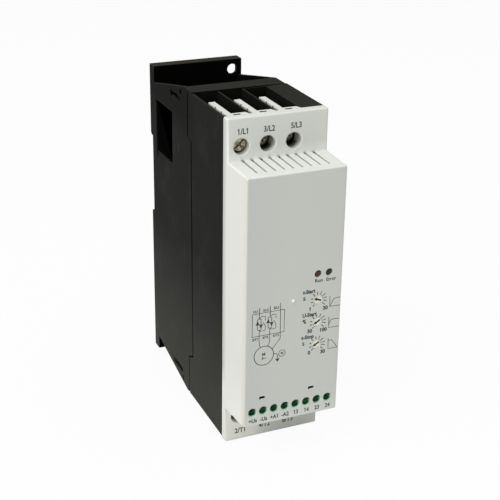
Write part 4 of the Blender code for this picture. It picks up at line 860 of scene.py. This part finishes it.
def in_vents(u, d, z):
    """The ribbed recess high on either side, whose faces take the darker black of painted shade."""
    return 82.0 < d < 109.5 and 0.4 < u < WIDTH - 0.9 and 112.0 < z < 135.0 and not 4.5 < u < WIDTH - 4.5


release_hooks = [((u - 0.3, -1.0, 30.85), (u + 0.3, 3.0, 31.4)) for u in (7.42, 30.44)]
plate_pockets = []
for u in (4.8, 39.2):
    for z in (5.7, 144.3):
        plate_pockets.append(((u - 3.9, 111.6, z - 3.9), (u + 3.9, 117.0, z + 3.9)))
rounded_copy("front_cover", "cover_shell", UNIT, [COVER], 0.22, 3.0, 2,
             stays_sharp=in_finger_guards, fitted=fit_cover, cuts=release_hooks, planes=(0.0, 1.8, FACE_D))
rounded_copy("front_housing", "front_frame", UNIT, [BLACK, BLACK_EDGE_HIGHLIGHT], 0.14, 1.2, 2,
             fitted=fit_front_frame)
rounded_copy("rear_housing", "rear_frame", UNIT, [BLACK, BLACK_EDGE_HIGHLIGHT, VENT_SHADE_BLACK], 0.16, 1.2, 2,
             fitted=fit_rear_frame, cuts=plate_pockets, third=in_vents)
rounded_copy("rail_latch", "latch_slide", "latch_body", [LATCH_BLACK, LATCH_BLACK], 0.15, 1.0, 2)
rounded_copy("heat_sink", "finned_sink", UNIT, [ALUMINIUM, ALUMINIUM], 0.12, 2.0, 1)


# Print on the cover

def add_flags(label, text, height, weight):
    """Gives a figure one at either end of a word the short slanting stroke at its top."""
    stem = mm(height) * (0.13 + 2 * weight)
    spread_x = [vert.co.x for vert in label.data.vertices]
    thick = mm(INK_RISE) * 0.75
    flags = []
    bars = []
    if text.startswith("1"):
        bars.append(min(spread_x) + stem / 2)
    if text.endswith("1") and len(text) > 1:
        bars.append(max(spread_x) - stem / 2)
    for bar_x in bars:
        flag = block("flag", (-0.5, -0.5, -0.5), (0.5, 0.5, 0.5))
        size = (mm(height) * 0.34 * 1000, stem * 0.85 * 1000, thick * 2.2 * 1000, 1)
        turn = Matrix.Rotation(math.radians(38), 4, "Z")
        place = Matrix.Translation((bar_x - mm(height) * 0.12, mm(height) * 0.86, 0))
        flag.data.transform(place @ turn @ Matrix.Diagonal(size))
        flags.append(flag)
    if not flags:
        return
    join([label] + flags, label.name)


def stand_up(piece, place_d=0.0, u=MIDDLE_U, z=0.0):
    """Turns a flat print upright and sets it at a place on a face."""
    piece.data.transform(Matrix.Translation((across_at(u), mm(z), 0)))
    piece.data.transform(Matrix.Rotation(math.radians(90), 4, "X"))
    piece.data.transform(Matrix.Translation((0, along(place_d), 0)))


def lettering(name, words, weight, place_d=0.0, material=INK):
    """Words set flat on a face. Each entry is (text, centre u, centre z, capital height, width share)."""
    pieces = []
    for text, u, z, height, share in words:
        clear_selection()
        bpy.ops.object.text_add()
        label = bpy.context.object
        label.data.body = text
        label.data.size = mm(height) / 0.7
        label.data.align_x = "CENTER"
        label.data.extrude = mm(INK_RISE) * 0.75
        label.data.offset = mm(height) * weight
        label.data.resolution_u = 4
        hold(label)
        bpy.ops.object.convert(target="MESH")
        label = bpy.context.object
        add_flags(label, text, height, weight)
        label.data.transform(Matrix.Diagonal((share, 1, 1, 1)))
        stand_up(label, place_d, u, z - height / 2)
        pieces.append(label)
    dress(join(pieces, name), UNIT, [material])


def ring(u, z, radius, steps=40):
    """Points of a circle, clockwise from the top."""
    points = []
    for step in range(steps + 1):
        angle = math.radians(360.0 * step / steps)
        points.append((u + radius * math.sin(angle), z + radius * math.cos(angle)))
    return points


def drawing(name, lines):
    """Printed lines on the panel. Each entry is (points, width)."""
    pieces = []
    for width in sorted({width for _, width in lines}):
        curve = bpy.data.curves.new(name, "CURVE")
        curve.dimensions = "3D"
        curve.bevel_depth = mm(width) / 2
        curve.bevel_resolution = 1
        curve.use_fill_caps = True
        for points, line_width in lines:
            if line_width != width:
                continue
            closed = math.dist(points[0], points[-1]) < 0.001
            run = points[:-1] if closed else points
            spline = curve.splines.new("POLY")
            spline.points.add(len(run) - 1)
            spline.use_cyclic_u = closed
            for point, (u, z) in zip(spline.points, run):
                point.co = (mm(u - MIDDLE_U), mm(z), 0.0, 1.0)
        strokes = bpy.data.objects.new(name, curve)
        bpy.context.scene.collection.objects.link(strokes)
        hold(strokes)
        bpy.ops.object.convert(target="MESH")
        strokes = bpy.context.object
        flat = mm(INK_RISE) / (mm(width) / 2)
        strokes.data.transform(Matrix.Diagonal((1, 1, flat, 1)))
        stand_up(strokes)
        pieces.append(strokes)
    dress(join(pieces, name), UNIT, [INK])


terminal_words = [("1/L1", 6.55, 144.1, 2.35, 0.87), ("3/L2", 18.0, 144.1, 2.35, 0.85),
                  ("5/L3", 30.05, 144.2, 2.35, 0.84), ("2/T1", 6.9, 4.5, 2.35, 0.9),
                  ("4/T2", 18.6, 4.9, 2.35, 0.86), ("6/T3", 30.1, 4.8, 2.35, 0.86)]
lettering("terminal_numbers", terminal_words, 0.034, FACE_D)

control_words = []
for u, text in zip(MOUTH_U, ("+Us", "-Us", "+A1", "-A2", "13", "14", "23", "24")):
    control_words.append((text, u + 0.12, 20.95, 1.92, 0.86))
lettering("control_numbers", control_words, 0.05, material=PALE_INK)

panel_words = [("Run", 33.2, 82.3, 1.5, 1.08), ("Error", 38.9, 82.2, 1.5, 0.97)]
dial_words = [
    ("t-Start", 28.9, 77.85, 1.7, 0.88), ("1", 29.65, 69.6, 1.7, 0.95), ("30", 36.75, 69.05, 1.7, 0.95),
    ("U-Start", 29.47, 67.05, 1.7, 0.91), ("%", 27.15, 64.15, 1.8, 0.95), ("30", 29.8, 59.25, 1.7, 0.95),
    ("100", 36.2, 58.8, 1.7, 0.92),
    ("t-Stop", 29.0, 56.6, 1.7, 0.96), ("0", 29.9, 48.9, 1.7, 0.95), ("30", 36.35, 48.3, 1.7, 0.95),
]
unit_words = [("s", 26.8, 75.2, 2.2, 1.1), ("s", 27.05, 54.0, 2.2, 1.1)]
lettering("panel_words", panel_words, 0.04)
lettering("dial_words", dial_words, 0.062)
lettering("unit_words", unit_words, 0.026)

scale_lines = []
TICK_ANGLES = (-138, -105, -73, -39, -8, 22, 52, 79, 103, 130)
for z in DIAL_Z:
    for index, angle in enumerate(TICK_ANGLES):
        short = index < 3
        start, end = (2.65, 3.45) if short else (2.35, 4.1 if index != 4 else 3.8)
        turn = math.radians(angle)
        near = (DIAL_U + start * math.sin(turn), z + start * math.cos(turn))
        far = (DIAL_U + end * math.sin(turn), z + end * math.cos(turn))
        scale_lines.append(([near, far], 0.48 if short else 0.34))
PICTOGRAMS = (
    [(38.75, 74.0), (38.85, 69.2), (43.5, 69.1)],
    [(38.9, 69.4), (40.45, 72.2), (40.85, 72.65), (41.5, 72.85), (43.5, 72.85)],
    [(38.65, 64.2), (38.75, 59.2), (43.5, 59.1)],
    [(38.78, 60.5), (39.1, 61.7), (39.45, 62.45), (39.9, 62.85), (40.8, 62.95), (43.5, 62.85)],
    [(38.8, 54.1), (38.9, 49.0), (43.3, 48.95)],
    [(38.95, 53.0), (40.55, 53.0), (43.15, 49.25)],
)
scale_lines += [(points, 0.3) for points in PICTOGRAMS]
drawing("dial_scales", scale_lines)


# Wiring diagram

wire = 0.3
diagram = [
    ([(3.35, 71.8), (17.85, 71.8), (17.85, 61.4), (3.35, 61.4), (3.35, 71.8)], 0.36),
    ([(6.5, 74.4), (6.5, 69.4)], 0.34),
    ([(11.3, 74.5), (11.35, 69.9)], 0.34),
    ([(15.95, 75.0), (16.15, 58.9)], wire),
    ([(6.55, 64.2), (6.5, 59.6), (6.7, 57.2), (7.25, 55.9)], wire),
    ([(11.3, 63.9), (11.35, 58.2), (11.0, 56.9), (10.35, 55.9)], wire),
    ([(16.2, 59.0), (16.0, 58.3), (12.65, 54.2)], wire),
    (ring(8.85, 51.75, 4.45), 0.36),
    ([(13.2, 51.7), (14.4, 51.6), (14.95, 51.3), (15.15, 50.5), (15.15, 49.3)], wire),
    (ring(17.2, 51.3, 1.5, steps=28), 0.28),
]
for shift_u, shift_z in ((0.0, 0.0), (4.8, 0.1)):
    symbol = [
        ([(5.7, 69.05), (5.7, 64.45), (6.1, 64.2), (6.88, 64.2), (7.28, 64.45), (7.28, 69.05),
          (6.88, 69.3), (6.1, 69.3), (5.7, 69.05)], 0.34),
        ([(6.63, 69.5), (7.45, 70.2), (9.2, 70.2), (9.2, 68.3)], wire),
        ([(8.15, 67.5), (9.25, 65.7), (9.25, 64.0), (8.8, 63.6), (7.3, 63.5), (6.6, 64.1)], wire),
    ]
    diagram += [([(u + shift_u, z + shift_z) for u, z in points], width) for points, width in symbol]
drawing("wiring_diagram", diagram)


# Each arrow head is (centre u, centre z, width, height, 1 for up or -1 for down).
ARROW_HEADS = ((5.7, 67.3, 1.7, 2.1, 1), (7.28, 66.0, 1.7, 2.1, -1), (10.5, 67.4, 1.7, 2.1, 1),
               (12.08, 66.2, 1.7, 2.1, -1), (15.15, 48.6, 2.1, 1.5, -1))
TRIANGLE_WIDTH, TRIANGLE_HEIGHT = 1.732, 1.5
heads = []
for u, z, width, height, way in ARROW_HEADS:
    head = round_bar("head", 1000.0, 1000.0, 500.0, 3)
    head.data.transform(Matrix.Diagonal((mm(width) / TRIANGLE_WIDTH, mm(height) * way / TRIANGLE_HEIGHT,
                                         mm(INK_RISE) * 1.6, 1)))
    stand_up(head, u=u, z=z)
    heads.append(head)
arrows = join(heads, "diagram_arrows")
open_mesh(arrows)
bpy.ops.mesh.select_all(action="SELECT")
bpy.ops.mesh.normals_make_consistent(inside=False)
close_mesh()
dress(arrows, UNIT, [INK])
diagram_words = [
    ("1/L1", 4.75, 72.95, 1.1, 0.92), ("3/L2", 9.35, 72.95, 1.1, 0.92), ("5/L3", 14.1, 73.2, 1.1, 0.92),
    ("2/T1", 4.75, 60.1, 1.1, 0.92), ("4/T2", 9.4, 60.3, 1.1, 0.92), ("6/T3", 14.2, 60.4, 1.1, 0.92),
    ("M", 8.75, 52.45, 1.3, 1.05), ("3~", 8.85, 50.55, 1.2, 1.15), ("PE", 17.2, 51.3, 1.1, 0.8),
]
lettering("diagram_words", diagram_words, 0.048)


# Small raised dot on the panel, in a paler white that paints its highlight

dot = round_bar("panel_dot", 0.72, 0.1, 0.05)
draw_dome(dot, ((0.3, 0.93), (0.2, 0.84), (0.12, 0.7), (0.06, 0.5)))
dot.data.transform(turned_to_front(at(21.75, 0.0, 74.95)))
smooth(dot, 70)
dress(dot, UNIT, [DOT_HIGHLIGHT])


# Terminal screws

def thread(radius, length, pitch, crest=0.12):
    """Ridges down a shank, drawn out of the selected face in half-pitch steps. Lengths in millimetres."""
    small = (radius - crest) / radius
    for step in range(round(length / (pitch / 2))):
        extrude(-pitch / 2)
        widen(small if step % 2 == 0 else 1 / small)


def make_power_screw():
    """Cheese head with a cross recess, threaded shank and riveted tip. Its top is at the origin."""
    head, length, chamfer, shank = 3.1, 2.2, 0.15, 1.9
    screw = round_bar("power_screw_master", head, length, sides=48)
    open_mesh(screw)
    round_rim(screw, 0.0, 0.42, 4)
    round_rim(screw, -length, chamfer, 1)
    pick_faces(screw, lambda centre, normal: normal.z < -0.9 and centre.z < -mm(2.1))
    bpy.ops.mesh.inset(thickness=mm(head - chamfer - shank))
    thread(shank, 6.3, 0.7)
    widen(0.53)
    extrude(-1.9)
    bpy.ops.mesh.extrude_region_move()
    widen(1.6)
    extrude(-0.4)
    widen(0.85)
    close_mesh()
    carve(screw, block("slot", (-2.7, -0.42, -1.0), (2.7, 0.42, 0.5)))
    carve(screw, block("cross", (-0.42, -1.75, -1.5), (0.42, 1.75, 0.5)))
    flare = block("flare", (-0.95, -0.95, -1.7), (0.95, 0.95, 0.4))
    flare.data.transform(Matrix.Rotation(math.radians(45), 4, "Z"))
    open_mesh(flare)
    pick_faces(flare, lambda centre, normal: normal.z < -0.9)
    widen(0.45)
    close_mesh()
    carve(screw, flare)
    smooth(screw, 32)
    return screw


power_screw = make_power_screw()
POWER_TURNS = {"l1": 42, "l2": 20, "l3": 70, "t1": 15, "t2": 64, "t3": 33}
for index in range(3):
    for end, insertions, z in (("l", TOP_INSERTION, WELL_Z), ("t", BOTTOM_INSERTION, HEIGHT - WELL_Z)):
        key = end + str(index + 1)
        place = at(WELL_U[index], SCREW_FRONT + insertions[index], z)
        turn = math.radians(POWER_TURNS[key])
        screw = copy_of(power_screw, "clamp_screw_" + key, turned_to_front(place, turn))
        dress(screw, "screw_%s_body" % key, [BRASS_ZINC], "terminal_screw_" + key)
        rounded_copy("clamp_frame_" + key, "wire_clamp_" + key, UNIT, [ZINC], 0.15, 1.0, 2)
        rounded_copy("saddle_" + key, "wire_saddle_" + key, "saddle_%s_body" % key, [ZINC], 0.15, 1.0, 2)
bpy.data.objects.remove(power_screw)


# Control terminals

def make_control_screw():
    """Slotted head and threaded shank. Its head's top is at the origin."""
    head, shank = 1.26, 0.8
    screw = round_bar("control_screw_master", head, 1.2)
    open_mesh(screw)
    round_rim(screw, 0.0, 0.14, 3)
    pick_faces(screw, lambda centre, normal: normal.z < -0.9)
    bpy.ops.mesh.inset(thickness=mm(head - shank))
    thread(shank, 4.95, 0.45, 0.08)
    extrude(-0.2)
    widen(0.7)
    close_mesh()
    carve(screw, block("slot", (-1.6, -0.24, -0.6), (1.6, 0.24, 0.5)))
    smooth(screw, 32)
    return screw


control_screw = make_control_screw()
for index, u in enumerate(CONTROL_U):
    number = str(index + 1)
    turn = math.radians(CONTROL_SLOT_TURN[index])
    screw = copy_of(control_screw, "signal_screw_" + number, turned_to_front(at(u, 3.2, CONTROL_Z), turn))
    dress(screw, "control_screw_%s_body" % number, [ZINC], "control_screw_" + number)
    rounded_copy("control_clamp_" + number, "signal_clamp_" + number, "clamp_%s_body" % number, [ZINC],
                 0.08, 0.6, 1)
bpy.data.objects.remove(control_screw)
rounded_copy("control_terminal_block", "signal_block", UNIT, [GREEN], 0.1, 1.0, 1)


# Dials and lamps

def make_dial():
    """Slotted disc on a stub. The arrow of its slot points along +Y before it is turned."""
    disc, stub = 2.15, 1.1
    dial = round_bar("dial_master", disc, 1.9, sides=40)
    open_mesh(dial)
    round_rim(dial, 0.0, 0.22, 3)
    pick_faces(dial, lambda centre, normal: normal.z < -0.9)
    bpy.ops.mesh.inset(thickness=mm(disc - stub))
    extrude(-4.0)
    close_mesh()
    carve(dial, block("slot", (-0.4, -1.6, -0.75), (0.4, 1.45, 0.5)))
    head = round_bar("head", 0.95, 1.25, 0.5, 3)
    head.data.transform(Matrix.Translation((0, mm(0.95), 0)))
    carve(dial, head)
    dial.data.materials.clear()
    dial.data.materials.append(DIAL)
    dial.data.materials.append(DIAL_SLOT)
    # Faces of the slot's floor and lower walls take the dark brown.
    for face in dial.data.polygons:
        middle = face.center
        within = math.hypot(middle.x, middle.y) < mm(1.75)
        face.material_index = 1 if within and -mm(0.8) < middle.z < -mm(0.02) else 0
    smooth(dial, 32)
    return dial


dial_master = make_dial()
for index, z in enumerate(DIAL_Z):
    number = str(index + 1)
    place = at(DIAL_U, 0.3, z)
    turn = -math.radians(DIAL_TURN[index])
    dial = copy_of(dial_master, "setting_dial_" + number, turned_to_front(place, turn))
    dress(dial, "dial_%s_body" % number, [DIAL, DIAL_SLOT], "dial_" + number)
bpy.data.objects.remove(dial_master)


lamp_master = round_bar("lamp_master", 1.45, 8.8, -0.7, 36)
draw_dome(lamp_master, ((0.28, 0.93), (0.2, 0.84), (0.12, 0.66), (0.06, 0.45)))
smooth(lamp_master, 60)
for node, u, tint in (("run_lamp", LAMP_U[0], RUN_LAMP), ("error_lamp", LAMP_U[1], ERROR_LAMP)):
    lamp = copy_of(lamp_master, node + "_pipe", turned_to_front(at(u, 0.35, LAMP_Z)))
    dress(lamp, UNIT, [tint], node)
bpy.data.objects.remove(lamp_master)


# Inner parts

for number in ("1", "3"):
    rounded_copy("thyristor_module_" + number, "power_module_" + number, UNIT, [RESIN], 0.2, 2.0, 2)
    rounded_copy("bypass_relay_" + number, "relay_" + number, UNIT, [RELAY], 0.2, 2.0, 2)
    for end in ("l" + number, "t" + number):
        rounded_copy("current_bar_" + end, "busbar_" + end, UNIT, [COPPER], 0.2, 1.2, 2)
rounded_copy("current_bar_middle", "busbar_middle", UNIT, [COPPER], 0.2, 1.2, 2)
rounded_copy("control_supply", "supply_block", UNIT, [SUPPLY], 0.2, 1.2, 2)
rounded_copy("board_link", "link_strip", UNIT, [LINK], 0.15, 1.2, 1)
rounded_copy("power_board", "power_laminate", UNIT, [BOARD], 0.1, 1.2, 1)
rounded_copy("control_board", "control_laminate", UNIT, [BOARD], 0.08, 1.2, 1)


def make_spring():
    """Coil of the rail latch, built at one length; the latch's travel of 4 mm does not shorten it."""
    wire_radius, coil_radius, coil_d = 0.31, 1.45, 113.7
    low, high = 33.63, 47.37
    turns, steps = 6, 150
    curve = bpy.data.curves.new("latch_coil", "CURVE")
    curve.dimensions = "3D"
    curve.bevel_depth = mm(wire_radius)
    curve.bevel_resolution = 3
    curve.use_fill_caps = True
    spline = curve.splines.new("POLY")
    spline.points.add(steps)
    for step in range(steps + 1):
        share = step / steps
        angle = 2 * math.pi * turns * share
        u = MIDDLE_U + coil_radius * math.cos(angle)
        d = coil_d + coil_radius * math.sin(angle)
        spline.points[step].co = (*at(u, d, low + (high - low) * share), 1.0)
    coil = bpy.data.objects.new("latch_coil", curve)
    bpy.context.scene.collection.objects.link(coil)
    hold(coil)
    bpy.ops.object.convert(target="MESH")
    coil = bpy.context.object
    smooth(coil, 60)
    dress(coil, UNIT, [SPRING], "latch_spring")
    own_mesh(coil)


make_spring()


# Floor and light

def seen_directly(tree):
    """1 for rays from the camera, straight or through something clear."""
    paths = tree.nodes.new("ShaderNodeLightPath")
    return maths(tree, "MAXIMUM", paths.outputs["Is Camera Ray"], paths.outputs["Is Transmission Ray"])


def make_floor():
    clear_selection()
    bpy.ops.mesh.primitive_grid_add(x_subdivisions=4, y_subdivisions=4, size=8.0, location=(0, 0, 0))
    floor = bpy.context.object
    floor.name = "floor"
    floor.data.transform(Matrix.Translation((0, 0, mm(-0.6))))
    material, tree, shader = new_material("floor_white", 0.9, specular=0.1)
    shader.inputs["Base Color"].default_value = (0.8, 0.8, 0.8, 1.0)
    glow = tree.nodes.new("ShaderNodeEmission")
    glow.inputs["Color"].default_value = (1.0, 1.0, 1.0, 1.0)
    glow.inputs["Strength"].default_value = 1.0
    mix = tree.nodes.new("ShaderNodeMixShader")
    link(tree, maths(tree, "MULTIPLY", seen_directly(tree), 0.94), mix.inputs["Fac"])
    link(tree, shader.outputs["BSDF"], mix.inputs[1])
    link(tree, glow.outputs["Emission"], mix.inputs[2])
    link(tree, mix.outputs["Shader"], tree.nodes["Material Output"].inputs["Surface"])
    floor.data.materials.append(material)


make_floor()

world = bpy.data.worlds.new("studio")
bpy.context.scene.world = world
world.use_nodes = True
sky = world.node_tree
background = sky.nodes["Background"]
background.inputs["Color"].default_value = (1.0, 1.0, 1.0, 1.0)
sky_glow = 0.38
seen = maths(sky, "MULTIPLY", seen_directly(sky), 1.0 - sky_glow)
link(sky, maths(sky, "ADD", seen, sky_glow), background.inputs["Strength"])


def softbox(name, place, aim, size, power):
    data = bpy.data.lights.new(name, "AREA")
    data.shape = "RECTANGLE"
    data.size, data.size_y = size
    data.energy = power
    lamp = bpy.data.objects.new(name, data)
    lamp.location = place
    lamp.rotation_euler = (Vector(aim) - Vector(place)).to_track_quat("-Z", "Y").to_euler()
    bpy.context.scene.collection.objects.link(lamp)


softbox("left_window", (-0.9, -0.35, 0.75), (0, 0, 0.07), (0.9, 0.9), 9.0)
softbox("top_panel", (0.1, -0.1, 1.2), (0, 0, 0.07), (1.0, 1.0), 6.0)

bpy.context.scene.view_settings.view_transform = "Standard"
